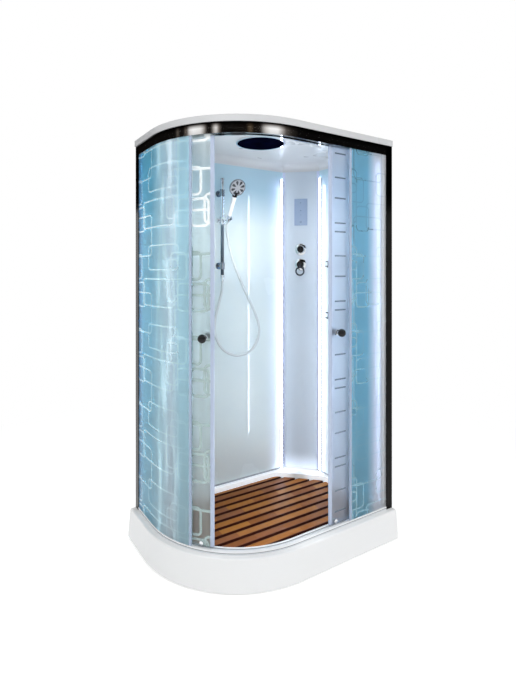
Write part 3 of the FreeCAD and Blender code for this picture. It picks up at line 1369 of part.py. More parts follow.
# ------------------------------------------------------------------ build, check and write
def main():
    for make in (make_tray, make_support, make_drain, make_duckboard, make_rails, make_wall_profiles,
                 make_fixed_glass, make_left_door, make_right_door, make_walls, make_column, make_valves,
                 make_riser, make_handset, make_hose, make_shelves, make_lights, make_roof, make_overhead,
                 make_fan, make_services):
        make()
    doc.recompute()
    faults = [o.Label for o in doc.Objects if {"Invalid", "Error"} & set(o.State)]
    for label, obj in nodes.items():
        shape = obj.Shape
        if shape.isNull() or not shape.isValid() or not shape.Solids:
            faults.append(label)
    if faults:
        raise RuntimeError("failed: " + ", ".join(faults))
    os.makedirs("parts", exist_ok=True)
    for label, obj in nodes.items():
        obj.Shape.exportStep(f"parts/{label}.step")
        extent = obj.Shape.BoundBox
        print("%-24s %2d solids  x %7.1f %7.1f  y %7.1f %7.1f  z %7.1f %7.1f"
              % (label, len(obj.Shape.Solids), extent.XMin, extent.XMax, extent.YMin, extent.YMax,
                 extent.ZMin, extent.ZMax))
    print(len(nodes), "nodes")


main()
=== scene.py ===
import functools
import math

import bmesh
import bpy
from mathutils import Matrix, Vector
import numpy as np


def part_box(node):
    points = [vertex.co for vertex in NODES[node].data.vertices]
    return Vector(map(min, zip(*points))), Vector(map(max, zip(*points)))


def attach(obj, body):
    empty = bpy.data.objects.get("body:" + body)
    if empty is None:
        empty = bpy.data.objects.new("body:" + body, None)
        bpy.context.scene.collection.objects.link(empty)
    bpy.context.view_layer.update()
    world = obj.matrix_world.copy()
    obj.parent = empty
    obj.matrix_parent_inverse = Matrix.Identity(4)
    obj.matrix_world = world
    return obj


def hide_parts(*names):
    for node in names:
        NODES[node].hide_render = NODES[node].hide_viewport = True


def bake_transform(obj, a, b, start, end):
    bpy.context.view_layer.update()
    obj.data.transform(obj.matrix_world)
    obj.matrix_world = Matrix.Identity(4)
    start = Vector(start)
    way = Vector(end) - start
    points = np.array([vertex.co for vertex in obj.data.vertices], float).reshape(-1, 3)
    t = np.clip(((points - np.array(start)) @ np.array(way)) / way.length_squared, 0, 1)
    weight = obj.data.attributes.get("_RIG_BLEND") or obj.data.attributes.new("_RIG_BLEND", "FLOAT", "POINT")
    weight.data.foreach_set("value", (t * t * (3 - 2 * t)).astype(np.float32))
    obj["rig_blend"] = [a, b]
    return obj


bl_info = {
    "name": "Corner shower cabin",
    "version": (1, 0, 0),
    "blender": (4, 5, 0),
    "location": "View3D > Sidebar > Cabin",
    "description": "Finishes, small parts and studio of a corner shower cabin",
    "category": "Object",
}

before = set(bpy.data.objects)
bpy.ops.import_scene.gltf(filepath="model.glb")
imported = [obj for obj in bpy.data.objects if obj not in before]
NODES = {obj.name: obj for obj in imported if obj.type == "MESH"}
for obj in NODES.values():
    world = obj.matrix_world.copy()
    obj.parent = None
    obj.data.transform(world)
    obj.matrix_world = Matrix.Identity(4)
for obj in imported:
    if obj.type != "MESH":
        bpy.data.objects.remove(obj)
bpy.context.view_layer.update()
MM = 0.001

# The photograph's camera, which stands level; its lengths are in the photograph's pixels.
PHOTO_HEIGHT = 688
FOCAL_LENGTH = 471.502
HORIZON = 272.271
SENSOR = 36
EYE = (-1.413057, -2.120597, 1.433533)
EYE_TURN = -0.578

# Plan of the round corner, shared with the CAD: the arc's centre and the glass surfaces' radii.
ARC_CENTRE = Vector((-0.044, 0.156, 0))
FIXED_GLASS_RADIUS = 516
DOOR_GLASS_RADIUS = 498
DOOR_GLASS = 5
FLAT_DOOR_Y = -342

# The column's strips stand this far out from the walls' faces.
TRIM_DEPTH = 5.7

# The hand shower leans forward from the cradle's pivot; its head faces down and out of the wall.
PIVOT = Vector((-0.066, 0.253, 1.745))
LEAN = math.radians(29)
HANDSET_AXIS = Vector((0, -math.sin(LEAN), math.cos(LEAN)))
FACE_AXIS = Vector((0, -math.cos(LEAN), -math.sin(LEAN)))
HEAD_CENTRE = PIVOT + 0.190 * HANDSET_AXIS

# The shower hose leaves the rail's outlet, hangs, and comes up to the hand shower from below.
HOSE_EXIT = (-0.066, 0.331, 1.3797)
HOSE_ROUTE = [
    HOSE_EXIT,
    (-0.066, 0.331, 1.330),
    (-0.090, 0.325, 1.260),
    (-0.120, 0.314, 1.180),
    (-0.134, 0.306, 1.092),
    (-0.106, 0.304, 1.008),
    (-0.040, 0.304, 0.950),
    (0.040, 0.304, 0.931),
    (0.121, 0.304, 0.953),
    (0.172, 0.303, 1.024),
    (0.177, 0.303, 1.109),
    (0.140, 0.302, 1.197),
    (0.092, 0.300, 1.282),
    (0.046, 0.298, 1.370),
    (0.004, 0.296, 1.458),
    (-0.030, 0.293, 1.544),
    (-0.052, 0.287, 1.630),
    tuple(PIVOT - 0.067 * HANDSET_AXIS),
    tuple(PIVOT - 0.025 * HANDSET_AXIS),
]
# Its last 110 mm bend with the cradle, and its last 55 mm stretch with the hand shower.
HOSE_CUTS = (0.110, 0.055)

# What the polished rail mirrors: the brightness of a banded cloth, in degrees from +X.
BANDS = ((0, "0b0a09"), (150, "0f0d0c"), (160, "12100e"), (163, "5c554e"), (166, "151210"), (172, "1a1614"),
         (174, "6e655d"), (176, "3a342f"), (179, "e8e6e4"), (184, "ffffff"), (193, "f6f4f2"), (198, "86807a"),
         (200, "15110e"), (206, "1a1613"), (208.5, "b8b2ac"), (211, "ebe8e5"), (214, "6b625a"),
         (217, "0e0c0b"), (245, "14100d"), (249, "5a4c3c"), (253, "15110e"), (261, "2a2522"), (267, "d9d5d1"),
         (272, "ffffff"), (281, "ffffff"), (286, "b5b0ac"), (291, "5a544f"), (298, "2e2a27"), (306, "0a0909"))
CLOTH_RADIUS, CLOTH_DROP, CLOTH_HEIGHT = 12, 4.0, 5.2

# Lamps: name, place, aim, width, height and power.
LAMPS = (("Key", (-2.6, -2.4, 3.4), (0, 0, 1), 2.2, 2.2, 66),
         ("Fill", (2.4, -3.0, 2.4), (0, 0, 1), 2.4, 2.4, 36),
         ("Back", (0.5, 3.2, 3.0), (0, 0, 1), 2.4, 2.4, 40),
         ("Inside up", (-0.05, -0.1, 1.45), (0.05, 0.05, 2.2), 0.5, 0.5, 2.0),
         ("Inside", (-0.15, -0.3, 1.05), (0.12, 0.4, 1.0), 0.5, 1.7, 2.2))
# The world's light on the object, the paper's half width in metres, and its own light, which keeps it white.
WORLD_LIGHT, PAPER_SIZE, PAPER_LIGHT = 0.55, 14, 0.3


# ------------------------------------------------------------------ colours and nodes
def linear(hex_colour):
    """An sRGB hex value as the linear colour that a shader takes."""
    shares = [int(hex_colour[i:i + 2], 16) / 255 for i in (0, 2, 4)]
    return [c / 12.92 if c <= 0.04045 else ((c + 0.055) / 1.055) ** 2.4 for c in shares] + [1.0]


def feed(node, links):
    """Gives a node's inputs, by name or in order, their sockets, numbers or sRGB hex values."""
    for name, value in links.items() if isinstance(links, dict) else enumerate(links):
        if isinstance(value, bpy.types.NodeSocket):
            node.id_data.links.new(value, node.inputs[name])
        else:
            node.inputs[name].default_value = linear(value) if isinstance(value, str) else value


def add(tree, kind, links=(), stops=(), out=0, **settings):
    """Adds a node with its settings, inputs and ramp stops; gives one output, or all where out is None."""
    node = tree.nodes.new("ShaderNode" + kind)
    for name, value in settings.items():
        setattr(node, name, value)
    feed(node, links)
    for i, (place, colour) in enumerate(stops):
        element = node.color_ramp.elements[i] if i < 2 else node.color_ramp.elements.new(place)
        element.position, element.color = place, linear(colour)
    return node.outputs if out is None else node.outputs[out]


def started(name, values):
    """A new material with the Principled values that are the same all over."""
    material = bpy.data.materials.new(name)
    material.use_nodes = True
    shader = material.node_tree.nodes["Principled BSDF"]
    feed(shader, values)
    return material, material.node_tree, shader


def graded(tree, value, low, high, stops):
    """A colour ramp whose stops are shares of the way between two values."""
    share = add(tree, "MapRange", {"Value": value, "From Min": low, "From Max": high})
    return add(tree, "ValToRGB", {"Fac": share}, stops=stops)


def within(tree, strength, *limits):
    """A strength that fades out towards each value's first limit, and is whole past its second."""
    for value, start, end in limits:
        share = add(tree, "MapRange", {"Value": value, "From Min": start, "From Max": end})
        strength = add(tree, "Math", [strength, share], operation="MULTIPLY")
    return strength


def surface(name, tones, grain, roughness, relief=0.0, values=(), stretch=(1, 1, 1)):
    """A solid finish: two near tones, roughness and relief that vary together over grain millimetres."""
    material, tree, shader = started(name, values)
    place = add(tree, "TexCoord", out="Object")
    grid = add(tree, "Mapping", {"Vector": place, "Scale": [s / (grain * MM) for s in stretch]})
    noise = add(tree, "TexNoise", {"Vector": grid, "Scale": 1.0, "Detail": 3.0}, out="Fac")
    low, high = 0.3, 0.7
    feed(shader, {
        "Base Color": add(tree, "ValToRGB", {"Fac": noise}, stops=[(low, tones[0]), (high, tones[1])]),
        "Roughness": add(tree, "MapRange", {"Value": noise, "From Min": low, "From Max": high,
                                            "To Min": roughness[0], "To Max": roughness[1]})})
    if relief:
        bump = add(tree, "Bump", {"Height": noise, "Distance": relief * MM, "Strength": 1.0})
        feed(shader, {"Normal": bump})
    return material


# ------------------------------------------------------------------ finishes
METAL = {"Metallic": 1.0}

# Plain finishes: the name, for what the real one is and how its surface was made; two tones; the grain's size
# in millimetres; least and most roughness; relief in millimetres; Principled values; the grain's stretch.
FINISHES = {
    # Smoked chrome of the ring lever and the shelves' rails: a dark mirror.
    "smoked": ("Brass, black-chromed", ("4a4d55", "3c3f46"), 25, (0.06, 0.1), 0.01, METAL),
    # Screen-printed marks: a slate ink.
    "ink": ("Ink, screen-printed", ("5d6f8c", "55667f"), 2, (0.4, 0.5), 0.005),
    # Vacuum-formed acrylic: an even gloss that only the mould's long wave moves.
    "acrylic": ("Sanitary acrylic, vacuum-formed, lit ledge", ("f3f4f4", "f1f2f3"), 300, (0.16, 0.22), 0.0,
                {"IOR": 1.49, "Coat Weight": 0.15, "Coat Roughness": 0.05}),
    # The roof's sheet is thinner, and its tone is greyed a little as painted shade, which keeps its rim
    # darker than the tray.
    "roof": ("ABS sheet, vacuum-formed", ("ced0d1", "cacbcd"), 300, (0.26, 0.32)),
    # Coated aluminium of the bottom rail: pale with a low sheen. The black line laid on it by height is
    # painted shadow.
    "sill": ("Aluminium, coated white and grey", ("e4e6e8", "dee1e4"), 40, (0.3, 0.38)),
    # Zinc-plated steel: cool, slightly patchy, half matt.
    "zinc": ("Zinc-plated steel, rolled", ("b9bdc2", "989da3"), 7, (0.32, 0.5), 0.02, METAL),
    # Moulded EPDM rubber: black and matt with a fine skin.
    "rubber": ("EPDM rubber, moulded", ("17181a", "222326"), 1.5, (0.65, 0.85), 0.05),
    # Polypropylene: waxy white with a soft sheen.
    "polypropylene": ("Polypropylene, moulded", ("e6e8e8", "dadddd"), 5, (0.35, 0.45), 0.02),
    # Brushed stainless steel: fine lines along X that stretch the highlights.
    "stainless": ("Stainless steel, brushed", ("c9ccd0", "aeb3b8"), 1.6, (0.2, 0.36), 0.01, METAL,
                  (0.03, 1, 1)),
    # Clear-anodised aluminium: silver, a soft satin.
    "silver": ("Aluminium, satin anodised", ("d9dcdf", "cbcfd3"), 2, (0.2, 0.3), 0.005, METAL,
               (0.05, 0.05, 1)),
    # Dark bright-dipped aluminium of the wall profiles.
    "profile": ("Aluminium, bright-dipped black", ("1f1d1c", "151413"), 40, (0.08, 0.14), 0.02, METAL),
    # Soft PVC lips of the doors: milky, edges catch the light.
    "pvc": ("Soft PVC, extruded milky", ("c9d5eb", "c0cde6"), 200, (0.3, 0.36), 0.0,
            {"Alpha": 0.78, "IOR": 1.53}),
    # The clear grade on the fixed panes: hardly there but for its edges.
    "pvc_clear": ("Soft PVC, extruded clear", ("ccdaf0", "c2d2ec"), 200, (0.24, 0.3), 0.0,
                  {"Alpha": 0.5, "IOR": 1.53}),
    # Chrome plating on brass: a clean mirror with hardly any wave.
    "chrome": ("Brass, chrome-plated", ("e8eaec", "dfe2e5"), 25, (0.03, 0.07), 0.01, METAL),
    # The same plating on the shower rail's long tube.
    "riser": ("Brass tube, chrome-plated", ("e8eaec", "dfe2e5"), 25, (0.03, 0.07), 0.01, METAL),
    # Cast phenolic resin: deep black under a thick gloss.
    "phenolic": ("Phenolic resin, cast", ("050506", "08090b"), 20, (0.1, 0.14), 0.0,
                 {"Specular IOR Level": 0.35}),
    # Extruded acrylic-faced ABS of the two long walls: a breath of green under a wet gloss.
    "wall": ("ABS sheet, acrylic-faced", ("eaf5f4", "e2eff2"), 420, (0.2, 0.28), 0.0,
             {"Coat Weight": 1.0, "Coat Roughness": 0.01, "Coat IOR": 1.75}),
    # The column's sheet: a finer satin, a little bluer.
    "column": ("ABS sheet, satin", ("c6d0da", "c1ccd6"), 420, (0.28, 0.36)),
    # Co-extruded white PVC strips: an even, quiet sheen.
    "strip": ("Rigid PVC, white", ("ccd4ec", "c6cfe8"), 120, (0.34, 0.4)),
    # Hard-coated polycarbonate over grey print: the touch panel.
    "touch": ("Polycarbonate, hard-coated", ("9eb0ca", "98aac5"), 60, (0.16, 0.22), 0.0,
              {"Coat Weight": 0.3, "Coat Roughness": 0.03}),
    # Cast and turned brass with a dull skin.
    "brass": ("Brass, cast and turned", ("b98f4e", "a17a3e"), 4, (0.3, 0.5), 0.03, METAL),
    # White ABS grip: smooth and bright.
    "grip": ("ABS, gloss moulded", ("f3f4f8", "ebedf2"), 15, (0.12, 0.18), 0.01),
    # Grey ABS of the spray plate: half matt.
    "spray": ("ABS, grey moulded", ("a9adb4", "9da1a8"), 3, (0.3, 0.4), 0.02),
    # Silicone nozzles: dark and soft.
    "silicone": ("Silicone rubber, moulded", ("34373d", "2a2d33"), 2, (0.45, 0.6), 0.01),
    # Navy polystyrene face of the ceiling shower: near black.
    "navy": ("Polystyrene, navy gloss", ("04061a", "02030e"), 50, (0.16, 0.22), 0.02,
             {"Specular IOR Level": 0.0}),
    # Chrome of the hand shower's head and the brackets: its tone is darkened as a painted reflection of the
    # dark open door.
    "head": ("ABS, chrome-plated", ("a0a6ae", "8f959e"), 25, (0.05, 0.09), 0.0, METAL),
    # Ground stainless tank of the steam generator: short level lines.
    "tank": ("Stainless steel, ground", ("bfc3c7", "a7abb0"), 2.4, (0.24, 0.4), 0.02, METAL, (1, 1, 0.04)),
    # Powder-coated housing: a fine orange peel.
    "powder": ("Steel, powder-coated", ("dfe2e4", "d3d7da"), 1.2, (0.4, 0.55), 0.06),
}


@functools.cache
def finish(name):
    """A plain finish by its short name, made when it is first asked for."""
    return surface(*FINISHES[name])


def further(name, called=None):
    """A plain finish that its caller goes on with: material, tree, shader and the place's X, Y and Z."""
    material = surface(called or FINISHES[name][0], *FINISHES[name][1:])
    tree = material.node_tree
    place = add(tree, "TexCoord", out="Object")
    return material, tree, tree.nodes["Principled BSDF"], add(tree, "SeparateXYZ", [place], out=None)


def recolour(shader, tone):
    """Puts a tone in the place of the ramp that coloured the shader."""
    shader.id_data.nodes.remove(shader.inputs["Base Color"].links[0].from_node)
    feed(shader, {"Base Color": tone})


# One cell of the common pattern of linked rounded rectangles: left, right, low, high, corner radius.
GLASS_CELL = (420, 396)
GLASS_RINGS = [
    (1561, 1838, 1842, 1963, 24),
    (1487, 1812, 1660, 1796, 24),
    (1398, 1603, 1518, 1723, 24),
    (1761, 1836, 1690, 1890, 20),
    (1790, 1887, 1796, 1923, 22),
    (1836, 1926, 1649, 1776, 22),
]
# The flat door has short level bars, one above the other, each a rectangle without height.
DOOR_RUNGS = [(212, 281, height, height, 0) for height in (1809, 1683, 1639, 1517)]


def rings_mask(tree, along, height, rings, width):
    """1 on the outlines of rounded rectangles that repeat every cell, 0 between them; all in millimetres."""
    spot = add(tree, "CombineXYZ", [along, height])
    half_cell = (GLASS_CELL[0] / 2, GLASS_CELL[1] / 2, 1)
    mask = 0.0
    for left, right, low, high, corner in rings:
        centre = ((left + right) / 2, (low + high) / 2, 0)
        inner = ((right - left) / 2 - corner, (high - low) / 2 - corner, 0)
        moved = add(tree, "VectorMath", [spot, centre], operation="SUBTRACT")
        wrapped = add(tree, "VectorMath", [moved, half_cell, [-n for n in half_cell]],
                      operation="WRAP")
        folded = add(tree, "VectorMath", [wrapped], operation="ABSOLUTE")
        past = add(tree, "VectorMath", [folded, inner], operation="SUBTRACT")
        outside = add(tree, "VectorMath", [past, (0, 0, 0)], operation="MAXIMUM")
        far = add(tree, "VectorMath", [outside], out="Value", operation="LENGTH")
        line = add(tree, "Math", [far, corner, width / 2], operation="COMPARE")
        mask = add(tree, "Math", [mask, line], operation="MAXIMUM")
    return mask


def satin_glass(name, tints, lines_high, lines_low, radius=0, shift=0, rings=GLASS_RINGS, opacity=0.25,
                width=6.5, crisp=(0.5, 1.0), fade=0.0, painted_glow=0.0):
    """Acid-etched safety glass: satin all over but for the brighter lines, which a mask kept from the acid.

    tints has colours at millimetres along the pane, whose paler stops are painted light, and the lines have a
    colour high up and one low down.
    crisp is the least and the most that a line shows, fade is how much less it shows at the last tint, and
    piped is how much of the strips' light is painted on the pane as a glow.
    """
    material, tree, shader = started(name, {"IOR": 1.5, "Transmission Weight": 1.0})
    place = add(tree, "TexCoord", out="Object")
    if radius:
        place = add(tree, "VectorMath", [place, ARC_CENTRE], operation="SUBTRACT")
    x, y, z = add(tree, "SeparateXYZ", [place], out=None)
    if radius:
        back_x = add(tree, "Math", [x, -1.0], operation="MULTIPLY")
        back_y = add(tree, "Math", [y, -1.0], operation="MULTIPLY")
        angle = add(tree, "Math", [back_y, back_x], operation="ARCTAN2")
        along = add(tree, "Math", [angle, radius, math.pi * radius], operation="MULTIPLY_ADD")
    else:
        along = add(tree, "Math", [x, 1 / MM], operation="MULTIPLY")
    height = add(tree, "Math", [z, 1 / MM], operation="MULTIPLY")
    shifted = add(tree, "Math", [along, shift], operation="SUBTRACT")
    lines = rings_mask(tree, shifted, height, rings, width)
    # The acid bites unevenly, so the lines are crisp in some places and faint in others.
    bite = add(tree, "TexNoise", {"Vector": place, "Scale": 2.6, "Detail": 1.0}, out="Fac")
    bite = add(tree, "MapRange", {"Value": bite, "From Min": 0.35, "From Max": 0.65,
                                  "To Min": crisp[0], "To Max": crisp[1]})
    lines = add(tree, "Math", [lines, bite], operation="MULTIPLY")
    # The satin's tint changes along the pane, and its paler stretches are painted light where the strips'
    # light comes through.
    first, last = tints[0][0], tints[-1][0]
    share = add(tree, "MapRange", {"Value": along, "From Min": first, "From Max": last})
    tint_with_painted_light = add(tree, "ValToRGB", {"Fac": share},
                     stops=[((where - first) / (last - first), tint) for where, tint in tints])
    # Painted shade: the tint darkens towards the floor, where less light reaches the glass.
    shade = add(tree, "MapRange", {"Value": height, "From Min": 150, "From Max": 1000, "To Min": 0.8})
    tint_with_painted_light = add(tree, "VectorMath", {0: tint_with_painted_light, "Scale": shade}, operation="SCALE")
    if fade:
        kept = add(tree, "MapRange", {"Value": share, "To Min": 1.0, "To Max": 1.0 - fade})
        lines = add(tree, "Math", [lines, kept], operation="MULTIPLY")
    etch = add(tree, "TexNoise", {"Vector": place, "Scale": 9.0, "Detail": 2.0}, out="Fac")
    satin = add(tree, "MapRange", {"Value": etch, "From Min": 0.3, "From Max": 0.7,
                                   "To Min": 0.3, "To Max": 0.36})
    line_tone = graded(tree, height, 0, 2200, [(0.70, lines_low), (0.74, lines_high)])
    passing = add(tree, "MapRange", {"Value": lines, "To Min": 1.0 - opacity, "To Max": 0.25})
    feed(shader, {
        "Base Color": add(tree, "Mix", {0: lines, 6: tint_with_painted_light, 7: line_tone}, out=2, data_type="RGBA"),
        "Roughness": add(tree, "Mix", {0: lines, 2: satin, 3: 0.2}, data_type="FLOAT"),
        "Transmission Weight": passing})
    if painted_glow:
        # Painted light: the clear lines glow with some of the strips' light, as if piping it to the surface.
        bright = add(tree, "Math", [lines, painted_glow], operation="MULTIPLY")
        # Painted light: where the far wall's light comes through, upright glowing smears are painted in the
        # satin, sized in millimetres.
        smear_width, smear_height = 42, 380
        smear_x = add(tree, "Math", [shifted, 1 / smear_width], operation="MULTIPLY")
        smear_y = add(tree, "Math", [height, 1 / smear_height], operation="MULTIPLY")
        grid = add(tree, "CombineXYZ", [smear_x, smear_y])
        smear = add(tree, "TexNoise", {"Vector": grid, "Scale": 1.0, "Detail": 1.0}, out="Fac")
        smear = add(tree, "MapRange", {"Value": smear, "From Min": 0.46, "From Max": 0.74,
                                       "To Max": 0.75 * painted_glow})
        smear = within(tree, smear, (share, 0.48, 0.58), (share, 0.9, 0.8))
        feed(shader, {"Emission Color": line_tone,
                      "Emission Strength": add(tree, "Math", [bright, smear], operation="ADD")})
    return material


def clear_glass():
    """Polished float glass for the shelves: clear, with a green breath in its edges."""
    material, tree, shader = started("Float glass, polished edges", {"IOR": 1.5, "Transmission Weight": 1.0})
    place = add(tree, "TexCoord", out="Object")
    smear = add(tree, "TexNoise", {"Vector": place, "Scale": 20.0}, out="Fac")
    feed(shader, {
        "Base Color": add(tree, "ValToRGB", {"Fac": smear}, stops=[(0.0, "dff0ec"), (1.0, "e9f6f4")]),
        "Roughness": add(tree, "MapRange", {"Value": smear, "To Min": 0.0, "To Max": 0.05})})
    return material


def lit_wall(name, axis, strips):
    """The glossy sheet beside the light strips, with their light painted on it as a glow a hand's breadth
    sideways.

    strips has each strip's place along the axis and the share of the painted glow that it gives.
    """
    material, tree, shader, axes = further("wall", name)
    reach, falloff = 0.16, 3.0
    glow = 0.0
    for strip, share in strips:
        away = add(tree, "Math", [axes[axis], strip], operation="SUBTRACT")
        away = add(tree, "Math", [away], operation="ABSOLUTE")
        near = add(tree, "MapRange", {"Value": away, "From Max": reach, "To Min": 1.0, "To Max": 0.0})
        near = add(tree, "Math", [near, falloff], operation="POWER")
        glow = add(tree, "Math", [near, share, glow], operation="MULTIPLY_ADD")
    # The strips end a little above the tray and below the cove, and the painted glow ends with them. The glow
    # is painted on the inner face only; the outer face is foil-backed.
    facing = add(tree, "SeparateXYZ", [add(tree, "TexCoord", out="Normal")], out="Y" if axis == "X" else "X")
    glow = within(tree, glow, (axes["Z"], 0.12, 0.18), (axes["Z"], 2.06, 1.98), (facing, 0.0, -1.0))
    # Painted shade: close under the cove, where the roof shades it, the sheet is painted a little darker and
    # bluer.
    shade = graded(tree, axes["Z"], 1.72, 1.95, [(0.0, "ffffff"), (1.0, "c9e1f0")])
    plain = shader.inputs["Base Color"].links[0].from_socket
    feed(shader, {
        "Base Color": add(tree, "VectorMath", [plain, shade], operation="MULTIPLY"),
        "Emission Color": add(tree, "ValToRGB", {"Fac": glow}, stops=[(0.0, "aebcff"), (0.6, "f4f7ff")]),
        "Emission Strength": glow})
    return material


def rail_with_painted_shadow():
    """Aluminium banded by height: white along its upper edge, a black line of painted shadow, and pale grey
    below it.
    """
    material, tree, shader, axes = further("sill")
    low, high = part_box("rail_bottom")
    recolour(shader, graded(tree, axes["Z"], low.z, high.z, [
        (0.0, "d9dde1"), (0.42, "d0d4d9"), (0.47, "30353a"), (0.55, "30353a"), (0.6, "f4f6f8")]))
    return material


def lit_tray():
    """The tray's acrylic, with a painted glow on the inner ledge under the walls, where the strips' light
    falls.
    """
    material, tree, shader, axes = further("acrylic")
    back = add(tree, "MapRange", {"Value": axes["Y"], "From Min": 0.27, "From Max": 0.31})
    side = add(tree, "MapRange", {"Value": axes["X"], "From Min": 0.46, "From Max": 0.50})
    near = add(tree, "Math", [back, side], operation="MAXIMUM")
    # The painted glow fades out where the ledge runs out under the glass, and ends short at the walls.
    fading, sharp = 0.06, 0.002
    side_wall, back_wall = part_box("side_panel")[0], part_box("back_panel")[0]
    for place, least, most in ((axes["X"], -0.50, side_wall.x), (axes["Y"], -0.27, back_wall.y)):
        near = within(tree, near, (place, least, least + fading), (place, most + sharp, most - sharp))
    level = add(tree, "MapRange", {"Value": axes["Z"], "From Min": 0.10, "From Max": 0.12, "To Max": 0.42})
    glow = add(tree, "Math", [near, level], operation="MULTIPLY")
    feed(shader, {"Emission Color": "f4f8ff", "Emission Strength": glow})
    return material


def lit_column():
    """The column's satin sheet, with a white glow painted at its foot for the light from the ledge below it.
    """
    material, tree, shader, axes = further("column")
    glow = add(tree, "MapRange", {"Value": axes["Z"], "From Min": 0.15, "From Max": 0.28,
                                  "To Min": 0.42, "To Max": 0.0}, interpolation_type="SMOOTHSTEP")
    feed(shader, {"Emission Color": "eef2ff", "Emission Strength": glow})
    return material


def rail_chrome():
    """Extruded aluminium, polished and chromed: a flat mirror whose tone is painted by height as the
    reflections of a rounded face, pale below and darkening to black along its upper edge.
    """
    material, tree, shader = started("Aluminium, extruded and chromed", METAL)
    low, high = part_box("rail_top")
    place = add(tree, "TexCoord", out="Object")
    height = add(tree, "SeparateXYZ", [place], out="Z")
    # Rolling leaves a slow wave along the length, a few hundredths of a millimetre high.
    wave = add(tree, "TexNoise", {"Vector": place, "Scale": 14.0, "Detail": 1.0}, out="Fac")
    feed(shader, {
        "Base Color": graded(tree, height, low.z, high.z, [
            (0.0, "d6d6d6"), (0.5, "f6f6f6"), (0.72, "aaa8a6"), (0.86, "3b3634"), (0.93, "0a0909")]),
        "Roughness": add(tree, "MapRange", {"Value": wave, "To Min": 0.05, "To Max": 0.1}),
        "Normal": add(tree, "Bump", {"Height": wave, "Distance": 0.08 * MM, "Strength": 1.0})})
    return material


def riser_chrome():
    """Chrome on the shower rail's tube, its tone painted by height as reflection: bright below the lit cove,
    dark lower down, where it faces the open door.
    """
    material, tree, shader, axes = further("riser")
    recolour(shader, graded(tree, axes["Z"], 1.4, 2.0, [
        (0.0, "454c55"), (0.5, "78828d"), (0.6, "eef1f5"), (1.0, "dfe4ea")]))
    return material


def light_strip(strength):
    """Opal polycarbonate over cool-white diodes: an even glow with a soft beat at the diodes' pitch."""
    material, tree, shader = started("Polycarbonate, opal, lit from behind", {
        "Roughness": 0.35, "Base Color": "f4f8ff", "IOR": 1.58, "Emission Color": "dfeaff"})
    pitch = 17 * MM
    x, _, z = add(tree, "SeparateXYZ", [add(tree, "TexCoord", out="Object")], out=None)
    wave = add(tree, "Math", [z, 2 * math.pi / pitch], operation="MULTIPLY")
    beat = add(tree, "Math", [wave], operation="SINE")
    glow = add(tree, "MapRange", {"Value": beat, "From Min": -1.0, "From Max": 1.0,
                                  "To Min": strength * 0.9, "To Max": strength * 1.1})
    # The strip behind the round pane burns low, and shows there as no more than a blue edge.
    share = add(tree, "MapRange", {"Value": x, "From Min": -0.5, "From Max": -0.4, "To Min": 0.06})
    feed(shader, {"Emission Strength": add(tree, "Math", [glow, share], operation="MULTIPLY")})
    return material


def teak():
    """Oiled teak in finger-jointed blocks: amber and rose-brown lengths, fine grain along each slat."""
    material, tree, shader = started("Teak, finger-jointed and oiled", {
        "IOR": 1.5, "Specular IOR Level": 0.15})
    slat_pitch, block_length = 64 * MM, 170 * MM
    place, normal = (add(tree, "TexCoord", out=name) for name in ("Object", "Normal"))
    axes = add(tree, "SeparateXYZ", [place], out=None)
    # Each slat has its own run of blocks, which starts a share of a block further on than its neighbour's.
    first_slat, further_on = 0.0156, 0.377
    slat = add(tree, "Math", [axes["Y"], 1 / slat_pitch, first_slat], operation="MULTIPLY_ADD")
    row = add(tree, "Math", [slat], operation="FLOOR")
    start = add(tree, "Math", [row, further_on], operation="MULTIPLY")
    run = add(tree, "Math", [axes["X"], 1 / block_length, start], operation="MULTIPLY_ADD")
    block = add(tree, "Math", [run], operation="FLOOR")
    seed = add(tree, "CombineXYZ", [block, row])
    chance = add(tree, "TexWhiteNoise", {"Vector": seed}, out="Value", noise_dimensions="3D")
    body = add(tree, "ValToRGB", {"Fac": chance}, stops=[
        (0.0, "8d501b"), (0.28, "a66423"), (0.48, "b3742c"), (0.68, "a26839"), (0.86, "945a33"),
        (1.0, "8c501f")])
    # Annual rings cut lengthways: lines about 2.6 mm apart that waver over a hand's breadth.
    ring_scale = (14, 380, 380)
    offset = add(tree, "VectorMath", [place, seed], operation="ADD")
    grid = add(tree, "Mapping", {"Vector": offset, "Scale": ring_scale})
    grain = add(tree, "TexNoise", {"Vector": grid, "Scale": 1.0, "Detail": 5.0, "Distortion": 0.6}, out="Fac")
    shade = add(tree, "MapRange", {"Value": grain, "From Min": 0.25, "From Max": 0.75,
                                   "To Min": 0.72, "To Max": 1.12})
    tone = add(tree, "VectorMath", {0: body, "Scale": shade}, operation="SCALE")
    # Painted shade: the slats' sides are painted a dark red-brown for the shade in the gaps between them.
    facing = add(tree, "SeparateXYZ", [normal], out="Z")
    level = add(tree, "Math", [facing], operation="ABSOLUTE")
    side = add(tree, "MapRange", {"Value": level, "From Min": 0.9, "From Max": 0.5})
    # The same painted shade darkens the faces' eased long edges, which widens the dark lines between the
    # slats.
    across = add(tree, "Math", [slat], operation="FRACT")
    across = add(tree, "Math", [across, 0.5], operation="SUBTRACT")
    across = add(tree, "Math", [across], operation="ABSOLUTE")
    edge = add(tree, "MapRange", {"Value": across, "From Min": 0.27, "From Max": 0.35})
    side = add(tree, "Math", [side, edge], operation="MAXIMUM")
    feed(shader, {
        "Base Color": add(tree, "Mix", {0: side, 6: tone, 7: "3d160c"}, out=2, data_type="RGBA"),
        "Roughness": add(tree, "MapRange", {"Value": grain, "To Min": 0.34, "To Max": 0.55}),
        "Normal": add(tree, "Bump", {"Height": grain, "Distance": 0.15 * MM, "Strength": 1.0})})
    return material


